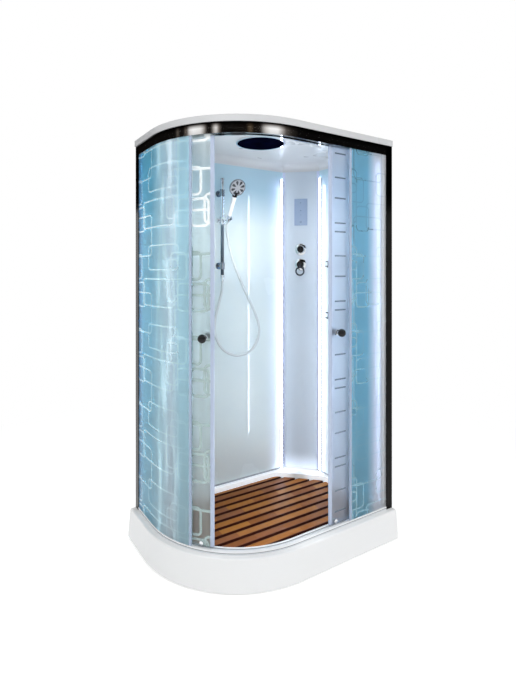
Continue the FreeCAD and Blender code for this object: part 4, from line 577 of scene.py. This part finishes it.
def silver_hose():
    """PVC hose over a silver braid: smooth and pale, with the winding's faint turns."""
    material, tree, shader = started("PVC hose, silver under clear", {
        "Coat Weight": 0.6, "Coat Roughness": 0.08})
    winding = 5 * MM
    along = add(tree, "Attribute", out="Fac", attribute_name="along")
    turns = add(tree, "Math", [along, 2 * math.pi / winding], operation="MULTIPLY")
    wave = add(tree, "Math", [turns], operation="SINE")
    feed(shader, {
        "Base Color": add(tree, "ValToRGB", {"Fac": wave}, stops=[(0.0, "c6ced1"), (0.8, "e2e8ea")]),
        "Roughness": add(tree, "MapRange", {"Value": wave, "From Min": -1.0, "To Min": 0.3, "To Max": 0.2})})
    return material


def studio_paper(colour):
    """Matt white paper that runs into the white backdrop away from the object."""
    material, tree, shader = started("Studio paper, matt white", {
        "Roughness": 0.9, "Base Color": colour, "Emission Color": "ffffff"})
    seen = seen_rays(tree)
    feed(shader, {"Emission Strength": add(tree, "Math", [seen, PAPER_LIGHT], operation="MULTIPLY")})
    away = add(tree, "VectorMath", [add(tree, "TexCoord", out="Object")], out="Value", operation="LENGTH")
    fade = add(tree, "MapRange", {"Value": away, "From Min": 1.1, "From Max": 3.0},
               interpolation_type="SMOOTHSTEP")
    fade = add(tree, "Math", [fade, seen], operation="MULTIPLY")
    white = add(tree, "Emission", {"Color": "ffffff", "Strength": 1.0})
    both = add(tree, "MixShader", [fade, shader.outputs[0], white])
    feed(tree.nodes["Material Output"], {"Surface": both})
    return material


def banded_cloth():
    """Black cloth whose pale bands glow as light that only mirrors see, and which the polished rail mirrors.
    """
    material, tree, shader = started("Duvetyn, banded", {
        "Roughness": 1.0, "Base Color": "000000", "Specular IOR Level": 0.0, "Emission Strength": 1.0})
    place = add(tree, "TexCoord", out="Object")
    back = add(tree, "VectorMath", {0: place, "Scale": -1.0}, operation="SCALE")
    x, y, _ = add(tree, "SeparateXYZ", [back], out=None)
    angle = add(tree, "Math", [y, x], operation="ARCTAN2")
    share = add(tree, "Math", [angle, 0.5 / math.pi, 0.5], operation="MULTIPLY_ADD")
    bands = add(tree, "ValToRGB", {"Fac": share}, stops=[(degrees / 360, tone) for degrees, tone in BANDS])
    feed(shader, {"Emission Color": bands})
    return material


def seen_rays(tree):
    """1 for rays from the camera, a mirror or glass, and 0 for those that only light the object."""
    ray = add(tree, "LightPath", out=None)
    seen = add(tree, "Math", [ray["Is Camera Ray"], ray["Is Glossy Ray"]], operation="MAXIMUM")
    return add(tree, "Math", [seen, ray["Is Transmission Ray"]], operation="MAXIMUM")


# ------------------------------------------------------------------ making pieces
def dress(material, *nodes):
    """Gives CAD nodes their material, or a plain finish by its short name."""
    for node in nodes:
        slots = NODES[node].data.materials
        slots.clear()
        slots.append(finish(material) if isinstance(material, str) else material)


def placed(bm, name, material):
    """Turns a bmesh into an object of the scene."""
    mesh = bpy.data.meshes.new(name)
    bm.to_mesh(mesh)
    bm.free()
    mesh.materials.append(material)
    mesh.shade_smooth()
    made = bpy.data.objects.new(name, mesh)
    bpy.context.scene.collection.objects.link(made)
    return made


def piece(bm, name, short_name, body, slot, *replaced):
    """Turns a bmesh into a finished piece on its body."""
    bmesh.ops.remove_doubles(bm, verts=bm.verts, dist=1e-6)
    bmesh.ops.recalc_face_normals(bm, faces=bm.faces)
    made = placed(bm, name, finish(short_name))
    made.data.set_sharp_from_angle(angle=math.radians(30))
    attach(made, body)
    if replaced:
        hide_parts(*replaced)


def towards(origin, axis):
    """The placement that stands a piece made along +Z on origin, along axis."""
    return Matrix.Translation(origin) @ Vector(axis).normalized().to_track_quat("Z", "Y").to_matrix().to_4x4()


def turn(bm, profile, placement, steps=48):
    """Adds a turned shape: profile is (radius, height) in millimetres from its foot to its top."""
    before = set(bm.verts)
    spots = [bm.verts.new((r * MM, 0, h * MM)) for r, h in profile]
    edges = [bm.edges.new(pair) for pair in zip(spots, spots[1:])]
    bmesh.ops.spin(bm, geom=spots + edges, cent=(0, 0, 0), axis=(0, 0, 1), dvec=(0, 0, 0),
                   angle=2 * math.pi, steps=steps, use_merge=True)
    bmesh.ops.transform(bm, matrix=placement, verts=[vert for vert in bm.verts if vert not in before])


def bar(bm, size, placement, rounding=0.0, segments=2):
    """Adds a block of the given size in millimetres, centred on its placement, with rounded edges."""
    scale = Matrix.Diagonal((*[n * MM for n in size], 1))
    made = bmesh.ops.create_cube(bm, size=1.0, matrix=placement @ scale)
    if rounding:
        edges = list({e for v in made["verts"] for e in v.link_edges})
        bmesh.ops.bevel(bm, geom=edges, offset=rounding * MM, offset_type="OFFSET", segments=segments,
                        profile=0.5, affect="EDGES", material=-1)


def middle(node):
    """The centre of a CAD node's box."""
    low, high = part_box(node)
    return (low + high) / 2


# Out of the room's corner, square to the column.
COLUMN_OUT = Vector((-1, -1, 0)).normalized()


def on_column(z, out=0.0):
    """The column's centre line at a height, out millimetres in front of its face."""
    low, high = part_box("column_trims")
    depth = TRIM_DEPTH * MM
    edges = Vector((low.x, high.y - depth, z)), Vector((high.x - depth, low.y, z))
    return (edges[0] + edges[1]) / 2 + COLUMN_OUT * out * MM


# ------------------------------------------------------------------ what a user would change
class CabinSizes(bpy.types.PropertyGroup):
    hose_diameter: bpy.props.FloatProperty(
        name="Hose", description="Outside diameter of the shower hose", default=0.014, unit="LENGTH")
    edge: bpy.props.FloatProperty(
        name="Slat edges", description="Rounding of the duckboard's edges", default=0.0015, unit="LENGTH")
    glow: bpy.props.FloatProperty(
        name="Light strips", description="Brightness of the light strips", default=14.0)


class CabinColours(bpy.types.PropertyGroup):
    fixed_glass: bpy.props.StringProperty(
        name="Fixed glass", description="Satin glass of the fixed round pane, sRGB hex", default="7fd6f2")
    # Painted light: the pane's paler tint where the strips' light comes through.
    lit_glass: bpy.props.StringProperty(
        name="Lit glass", description="The same pane where light comes through, sRGB hex", default="cdf2ff")
    door_glass: bpy.props.StringProperty(
        name="Door glass", description="Satin glass of the round door, sRGB hex", default="e0ecee")
    floor: bpy.props.StringProperty(
        name="Floor", description="Studio floor, sRGB hex", default="f7f7f7")


class CABIN_OT_stage(bpy.types.Operator):
    """Camera at the photograph's angle, floor and soft studio light"""
    bl_idname = "cabin.stage"
    bl_label = "Stage"

    def execute(self, context):
        scene = context.scene
        camera = bpy.data.cameras.new("Camera")
        camera.sensor_width = SENSOR
        camera.lens = FOCAL_LENGTH / PHOTO_HEIGHT * SENSOR
        camera.shift_y = -(PHOTO_HEIGHT / 2 - HORIZON) / PHOTO_HEIGHT
        camera.clip_start, camera.clip_end = 0.05, 60
        eye = bpy.data.objects.new("Camera", camera)
        eye.location = EYE
        eye.rotation_euler = (math.pi / 2, 0, EYE_TURN)
        scene.collection.objects.link(eye)
        scene.camera = eye

        bm = bmesh.new()
        bmesh.ops.create_grid(bm, x_segments=1, y_segments=1, size=PAPER_SIZE)
        placed(bm, "Floor", studio_paper(scene.cabin_colours.floor))

        # The banded cloth hangs far round the studio, where the rail mirrors it; only mirrors see it.
        bm = bmesh.new()
        bmesh.ops.create_cone(bm, segments=72, radius1=CLOTH_RADIUS, radius2=CLOTH_RADIUS, depth=CLOTH_DROP,
                              matrix=Matrix.Translation((0, 0, CLOTH_HEIGHT)))
        cloth = placed(bm, "Cloth", banded_cloth())
        for kind in ("camera", "diffuse", "transmission", "volume_scatter", "shadow"):
            setattr(cloth, "visible_" + kind, False)

        scene.world = bpy.data.worlds.new("Studio")
        scene.world.use_nodes = True
        tree = scene.world.node_tree
        tree.nodes.clear()
        strength = add(tree, "MapRange", {"Value": seen_rays(tree), "To Min": WORLD_LIGHT, "To Max": 1.0})
        sky = add(tree, "Background", {"Color": "ffffff", "Strength": strength})
        add(tree, "OutputWorld", {"Surface": sky}, out=None)

        for name, place, aim, width, height, power in LAMPS:
            lamp = bpy.data.lights.new(name, "AREA")
            lamp.shape, lamp.size, lamp.size_y, lamp.energy = "RECTANGLE", width, height, power
            light = bpy.data.objects.new(name, lamp)
            light.location = place
            light.rotation_euler = (Vector(aim) - Vector(place)).to_track_quat("-Z", "Y").to_euler()
            light.visible_glossy = False
            scene.collection.objects.link(light)
        scene.view_settings.view_transform = "Standard"
        return {"FINISHED"}


class CABIN_OT_hose(bpy.types.Operator):
    """The shower hose: one hanging line, cut where it crosses a joint so that each stretch can bend"""
    bl_idname = "cabin.hose"
    bl_label = "Shower hose"

    def execute(self, context):
        thick = context.scene.cabin_sizes.hose_diameter
        curve = bpy.data.curves.new("hose_line", "CURVE")
        curve.dimensions = "3D"
        curve.resolution_u = 10
        spline = curve.splines.new("NURBS")
        spline.points.add(len(HOSE_ROUTE) - 1)
        for point, place in zip(spline.points, HOSE_ROUTE):
            point.co = (*place, 1)
        spline.order_u = 3
        spline.use_endpoint_u = True
        carrier = bpy.data.objects.new("hose_line", curve)
        line = [v.co.copy() for v in bpy.data.meshes.new_from_object(carrier).vertices]
        curve.bevel_depth = thick / 2
        curve.bevel_resolution = 4
        curve.use_fill_caps = False
        tube = bpy.data.meshes.new_from_object(carrier)
        ring = len(tube.vertices) // len(line)
        travelled = [0.0]
        for a, b in zip(line, line[1:]):
            travelled.append(travelled[-1] + (b - a).length)
        cuts = [0] + [min(range(len(line)), key=lambda i: abs(travelled[i] - travelled[-1] + rest))
                      for rest in HOSE_CUTS] + [len(line) - 1]
        names = [("hose", "cabin", "slider"), ("hose_upper", "slider", "cradle"),
                 ("hose_tail", "cradle", "handset")]
        cover = silver_hose()
        for (name, near, far), first, last in zip(names, cuts, cuts[1:]):
            bm = bmesh.new()
            bm.from_mesh(tube)
            layer = bm.verts.layers.float.new("along")
            for vert in bm.verts:
                vert[layer] = travelled[vert.index // ring]
            bmesh.ops.delete(bm, geom=[v for v in bm.verts if not first <= v.index // ring <= last],
                             context="VERTS")
            bmesh.ops.holes_fill(bm, edges=[e for e in bm.edges if e.is_boundary], sides=ring)
            bmesh.ops.recalc_face_normals(bm, faces=bm.faces)
            stretch = placed(bm, name, cover)
            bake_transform(stretch, near, far, start=tuple(line[first]), end=tuple(line[last]))
            if name == "hose":
                # The slider's travel is shared out along the hose, so its loop drops by half as much.
                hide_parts("shower_hose")
                shares = stretch.data.attributes
                reach = [point.value / travelled[last] for point in shares["along"].data]
                shares["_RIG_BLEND"].data.foreach_set("value", [r * r * (3 - 2 * r) for r in reach])
        return {"FINISHED"}


class CABIN_OT_glass(bpy.types.Operator):
    """Two fixed panes and two doors of satin glass with clear lines, and their seals"""
    bl_idname = "cabin.glass"
    bl_label = "Glass"

    def execute(self, context):
        colours = context.scene.cabin_colours
        deep, pale, door = colours.fixed_glass, colours.lit_glass, colours.door_glass
        # The paler stops of each pane's tints are painted light.
        dress(satin_glass("Safety glass, etched, fixed round pane",
                          [(1380, "88c4ff"), (1440, "80ccf8"), (1490, deep), (1600, deep), (1700, pale),
                           (1790, "e2f4ff"), (1850, pale), (1920, pale)],
                          "f2fdff", "e2f8fc", FIXED_GLASS_RADIUS, opacity=0.3, fade=0.85, painted_glow=0.22),
              "glass_left_fixed")
        dress(satin_glass("Safety glass, etched, fixed flat pane",
                          [(290, "84cfe8"), (420, "84cfe8"), (480, "f0f6ff"), (600, "ffffff")],
                          "5f8ba3", "b5dbe8", shift=-1495, crisp=(0.35, 0.8), fade=0.7),
              "glass_right_fixed")
        dress(satin_glass("Safety glass, etched, round door", [(1700, door), (2000, door)],
                          "fdffff", "a9bdbc", DOOR_GLASS_RADIUS, opacity=0.1, width=12, crisp=(0.7, 1.0),
                          painted_glow=0.12),
              "door_left_glass")
        dress(satin_glass("Safety glass, etched, flat door", [(0, "cfddf0"), (600, "cfddf0")],
                          "54687c", "6d8196", rings=DOOR_RUNGS, opacity=0.2, width=7, crisp=(0.6, 1.0)),
              "door_right_glass")
        dress("pvc", "door_left_seals", "door_right_seals")
        dress("pvc_clear", "fixed_seals")
        return {"FINISHED"}


class CABIN_OT_tray(bpy.types.Operator):
    """Tray, roof, feet, support frame and waste"""
    bl_idname = "cabin.tray"
    bl_label = "Tray and roof"

    def execute(self, context):
        dress(lit_tray(), "tray_shell")
        dress("roof", "roof_shell")
        dress("zinc", "support_frame", "foot_screws", "wall_frames")
        dress("rubber", "foot_pads")
        dress("polypropylene", "drain_body", "fan_housing", "fan_grille", "fan_rotor")
        dress("stainless", "drain_grid")
        return {"FINISHED"}


class CABIN_OT_duckboard(bpy.types.Operator):
    """Teak slats with eased edges on their battens"""
    bl_idname = "cabin.duckboard"
    bl_label = "Duckboard"

    def execute(self, context):
        dress(teak(), "duckboard_slats", "duckboard_battens")
        eased = NODES["duckboard_slats"].modifiers.new("Eased edges", "BEVEL")
        eased.width, eased.segments = context.scene.cabin_sizes.edge, 2
        eased.limit_method, eased.angle_limit = "ANGLE", math.radians(60)
        return {"FINISHED"}


class CABIN_OT_metalwork(bpy.types.Operator):
    """Rails, wall profiles, door carriers and rollers"""
    bl_idname = "cabin.metalwork"
    bl_label = "Rails and rollers"

    def execute(self, context):
        dress(rail_chrome(), "rail_top")
        dress(rail_with_painted_shadow(), "rail_bottom")
        dress("silver", "led_channels")
        dress("profile", "wall_profile_left", "wall_profile_right")
        for side in ("left", "right"):
            dress("chrome", f"door_{side}_carriers")
            dress("polypropylene", f"door_{side}_wheel_lead", f"door_{side}_wheel_trail")
        return {"FINISHED"}


class CABIN_OT_walls(bpy.types.Operator):
    """Wall sheets, column with its strips, and the light strips"""
    bl_idname = "cabin.walls"
    bl_label = "Walls and light"

    def execute(self, context):
        dress(lit_wall("ABS sheet, acrylic-faced, back", "X", ((0.397, 0.9), (-0.525, 0.1))), "back_panel")
        dress(lit_wall("ABS sheet, acrylic-faced, side", "Y", ((0.197, 0.9), (-0.295, 1.1))), "side_panel")
        dress(lit_column(), "column_panel")
        dress("strip", "column_trims")
        dress(light_strip(context.scene.cabin_sizes.glow), "led_diffusers")
        return {"FINISHED"}


class CABIN_OT_knobs(bpy.types.Operator):
    """Door knobs: black balls on chromed feet, outside and in"""
    bl_idname = "cabin.knobs"
    bl_label = "Door knobs"

    def execute(self, context):
        # The ball is flat where its foot enters it.
        radius, height, flat = 20.5, 32.0, 12.5
        ball = [(radius * math.sin(a), height - radius * math.cos(a))
                for a in (math.radians(n) for n in range(24, 180, 12))]
        ball = [(0, flat), *ball, (0, height + radius)]
        foot = [(0, 0), (13, 0), (13.6, 0.8), (13.6, 3.2), (12.8, 4.4), (8.4, 6), (7.2, 9), (7.4, 13.2),
                (0, 13.2)]
        for side in ("left", "right"):
            node = f"door_{side}_knobs"
            centre = middle(node)
            if side == "left":
                out = centre - ARC_CENTRE
                out.z = 0
                out.normalize()
                outside = ARC_CENTRE + out * DOOR_GLASS_RADIUS * MM
            else:
                out = Vector((0, -1, 0))
                outside = Vector((centre.x, FLAT_DOOR_Y * MM, 0))
            outside.z = centre.z
            balls, feet = bmesh.new(), bmesh.new()
            for spot, axis in ((outside, out), (outside - out * DOOR_GLASS * MM, -out)):
                turn(balls, ball, towards(spot, axis), 40)
                turn(feet, foot, towards(spot, axis), 40)
            piece(balls, f"door_{side}_knob_balls", "phenolic", f"door_{side}", "knob_black", node)
            piece(feet, f"door_{side}_knob_feet", "chrome", f"door_{side}", "chrome")
        return {"FINISHED"}


class CABIN_OT_controls(bpy.types.Operator):
    """Column fittings: touch panel, diverter and mixer"""
    bl_idname = "cabin.controls"
    bl_label = "Controls"

    def execute(self, context):
        dress("touch", "control_panel")
        dress("brass", "valve_body")
        dress("phenolic", "mixer_turret")
        dress("smoked", "mixer_lever")
        plates = bmesh.new()
        sunk = -0.7
        for node in ("diverter_knob", "mixer_turret"):
            turn(plates, [(6.6, 0), (39, 0), (39, 1.2), (37.6, 3.2), (31, 5), (6.6, 5), (6.6, 0)],
                 towards(on_column(middle(node).z, sunk), COLUMN_OUT), 64)
        piece(plates, "cover_plates", "chrome", "cabin", "chrome", "control_plates")
        at = towards(on_column(middle("diverter_knob").z), COLUMN_OUT)
        skirt, cap = bmesh.new(), bmesh.new()
        turn(skirt, [(0, 5.3), (24.5, 5.3), (26, 6.4), (26, 14), (24.8, 18.4), (22.4, 20), (0, 20)], at, 64)
        turn(cap, [(0, 20), (21.8, 20), (22, 21), (21.6, 28), (19.6, 31.4), (16, 32.4), (0, 32.8)], at, 64)
        bar(cap, (6, 38, 13), at @ Matrix.Translation((0, 0, 31.2 * MM)), 2.2, 3)
        piece(skirt, "diverter_skirt", "chrome", "diverter", "chrome", "diverter_knob")
        piece(cap, "diverter_cap", "phenolic", "diverter", "knob_black")
        # Plain marks on the touch panel, which stands 7 mm out: dots, a level bar and a ring.
        front = 7
        marks = bmesh.new()
        for z, profile in ((1.884, [(0, 0), (3, 0), (2.8, 0.5), (0, 0.5)]),
                           (1.834, [(0, 0), (3.2, 0), (3, 0.5), (0, 0.5)]),
                           (1.760, [(3.6, 0), (6, 0), (5.8, 0.5), (3.8, 0.5), (3.6, 0)])):
            turn(marks, profile, towards(on_column(z, front), COLUMN_OUT), 24)
        bar(marks, (0.5, 7, 1.6),
            Matrix.Translation(on_column(1.806, front)) @ Matrix.Rotation(math.radians(45), 4, "Z"))
        piece(marks, "panel_marks", "ink", "cabin", "control_grey")
        return {"FINISHED"}


class CABIN_OT_shower_rail(bpy.types.Operator):
    """Riser, brackets, slider, cradle and outlet"""
    bl_idname = "cabin.shower_rail"
    bl_label = "Shower rail"

    def execute(self, context):
        dress(riser_chrome(), "riser_tube")
        dress("head", "riser_brackets")
        dress("chrome", "hose_outlet", "slider_block", "slider_knob", "handset_cradle")
        return {"FINISHED"}


class CABIN_OT_hand_shower(bpy.types.Operator):
    """Hand shower: chromed head with a grey eight-petal spray plate, black neck, white grip, chromed nut"""
    bl_idname = "cabin.hand_shower"
    bl_label = "Hand shower"

    def execute(self, context):
        stem, face = towards(PIVOT, HANDSET_AXIS), towards(HEAD_CENTRE, FACE_AXIS)
        # The head's shell has a domed back, a round side and a rolled rim, as one skin with its inner wall.
        for name, material, body, slot, replaced, placement, steps, profile in (
                ("hand_shower_head", "head", "handset", "handle_white", ["handset_body"], face, 64,
                 [(0, -14.2), (18, -14), (30, -12.4), (41, -8.6), (46.5, -3.5), (48.9, 3), (49, 9),
                  (48.4, 11.4), (47, 12), (45.8, 11.2), (45.2, 6.4), (44.6, 5.6), (0, 5.6)]),
                ("hand_shower_neck", "phenolic", "handset", "handle_white", [], stem, 48,
                 [(0, 132.5), (13.2, 132.5), (14, 133.4), (14, 141.6), (13.6, 143), (15.5, 152),
                  (18.6, 161.5), (0, 161.5)]),
                ("hand_shower_grip", "grip", "handset", "handle_white", [], stem, 48,
                 [(0, 15.9), (10.2, 15.9), (10.7, 16.8), (10.9, 26), (11.4, 60), (12.2, 100), (12.9, 126),
                  (12.9, 131), (12.2, 132.6), (0, 132.6)]),
                ("hand_shower_nut", "chrome", "handset", "chrome", [], stem, 48,
                 [(0, -25), (8.6, -25), (9, -24.4), (9, -15), (8.9, -14.2), (9.3, -13.6), (11.3, 15.4),
                  (10.9, 15.9), (0, 15.9)]),
                ("spray_plate", "spray", "spray_face", "spray_grey", ["handset_face"], face, 64,
                 [(0, 6.3), (44.4, 6.3), (44.6, 6.6), (44.4, 10.8), (43.6, 11.7), (40, 12.3), (20, 12.9),
                  (11, 13.1), (10.4, 13.8), (9.4, 14.3), (0, 14.5)])):
            bm = bmesh.new()
            turn(bm, profile, placement, steps)
            piece(bm, name, material, body, slot, *replaced)
        # Eight petals of soft nozzles, widening outwards.
        petals = bmesh.new()
        outline = [(14.5, 0), (20, 3.2), (30, 6.8), (37, 7.6), (40.2, 4.6), (40.8, 0),
                   (40.2, -4.6), (37, -7.6), (30, -6.8), (20, -3.2)]
        nozzles = ((19, 0), (26, 3), (26, -3), (33, 4.4), (33, 0), (33, -4.4), (38, 2.6), (38, -2.6))
        for k in range(8):
            spoke = face @ Matrix.Rotation(math.radians(45 * k + 22.5), 4, "Z")
            pad = petals.faces.new([petals.verts.new(spoke @ Vector((x * MM, y * MM, 12.2 * MM)))
                                    for x, y in outline])
            lifted = bmesh.ops.extrude_face_region(petals, geom=[pad])
            bmesh.ops.translate(petals, vec=FACE_AXIS * MM,
                                verts=[g for g in lifted["geom"] if isinstance(g, bmesh.types.BMVert)])
            for r, spread in nozzles:
                turn(petals, [(0, 13), (1.5, 13), (0.9, 14.8), (0, 15)],
                     spoke @ Matrix.Translation((r * MM, spread * MM, 0)), 8)
        piece(petals, "spray_nozzles", "silicone", "spray_face", "spray_grey")
        return {"FINISHED"}


class CABIN_OT_shelves(bpy.types.Operator):
    """Glass shelves with their gallery rails"""
    bl_idname = "cabin.shelves"
    bl_label = "Shelves"

    def execute(self, context):
        dress(clear_glass(), "shelf_glasses")
        dress("smoked", "shelf_rails")
        return {"FINISHED"}


class CABIN_OT_ceiling(bpy.types.Operator):
    """Ceiling shower"""
    bl_idname = "cabin.ceiling"
    bl_label = "Ceiling shower"

    def execute(self, context):
        dress("chrome", "overhead_rim")
        dress("navy", "overhead_face")
        return {"FINISHED"}


class CABIN_OT_services(bpy.types.Operator):
    """Steam generator, its line and the power unit behind the column"""
    bl_idname = "cabin.services"
    bl_label = "Services"

    def execute(self, context):
        dress("tank", "steam_generator")
        dress("brass", "steam_line")
        dress("powder", "power_unit")
        return {"FINISHED"}


STEPS = (CABIN_OT_stage, CABIN_OT_hose, CABIN_OT_tray, CABIN_OT_duckboard, CABIN_OT_metalwork, CABIN_OT_glass,
         CABIN_OT_walls, CABIN_OT_knobs, CABIN_OT_controls, CABIN_OT_shower_rail, CABIN_OT_hand_shower,
         CABIN_OT_shelves, CABIN_OT_ceiling, CABIN_OT_services)


class CABIN_PT_panel(bpy.types.Panel):
    """Lists the sizes, the colours and the steps"""
    bl_label = "Corner shower cabin"
    bl_space_type = "VIEW_3D"
    bl_region_type = "UI"
    bl_category = "Cabin"

    def draw(self, context):
        for group in (context.scene.cabin_sizes, context.scene.cabin_colours):
            for name in group.__annotations__:
                self.layout.prop(group, name)
        for step in STEPS:
            self.layout.operator(step.bl_idname)


CLASSES = (CabinSizes, CabinColours, *STEPS, CABIN_PT_panel)


def register():
    for cls in CLASSES:
        bpy.utils.register_class(cls)
    bpy.types.Scene.cabin_sizes = bpy.props.PointerProperty(type=CabinSizes)
    bpy.types.Scene.cabin_colours = bpy.props.PointerProperty(type=CabinColours)


def unregister():
    del bpy.types.Scene.cabin_sizes
    del bpy.types.Scene.cabin_colours
    for cls in reversed(CLASSES):
        bpy.utils.unregister_class(cls)


def main():
    register()
    for step in STEPS:
        getattr(bpy.ops.cabin, step.bl_idname.removeprefix("cabin."))()


if __name__ == "__main__":
    main()
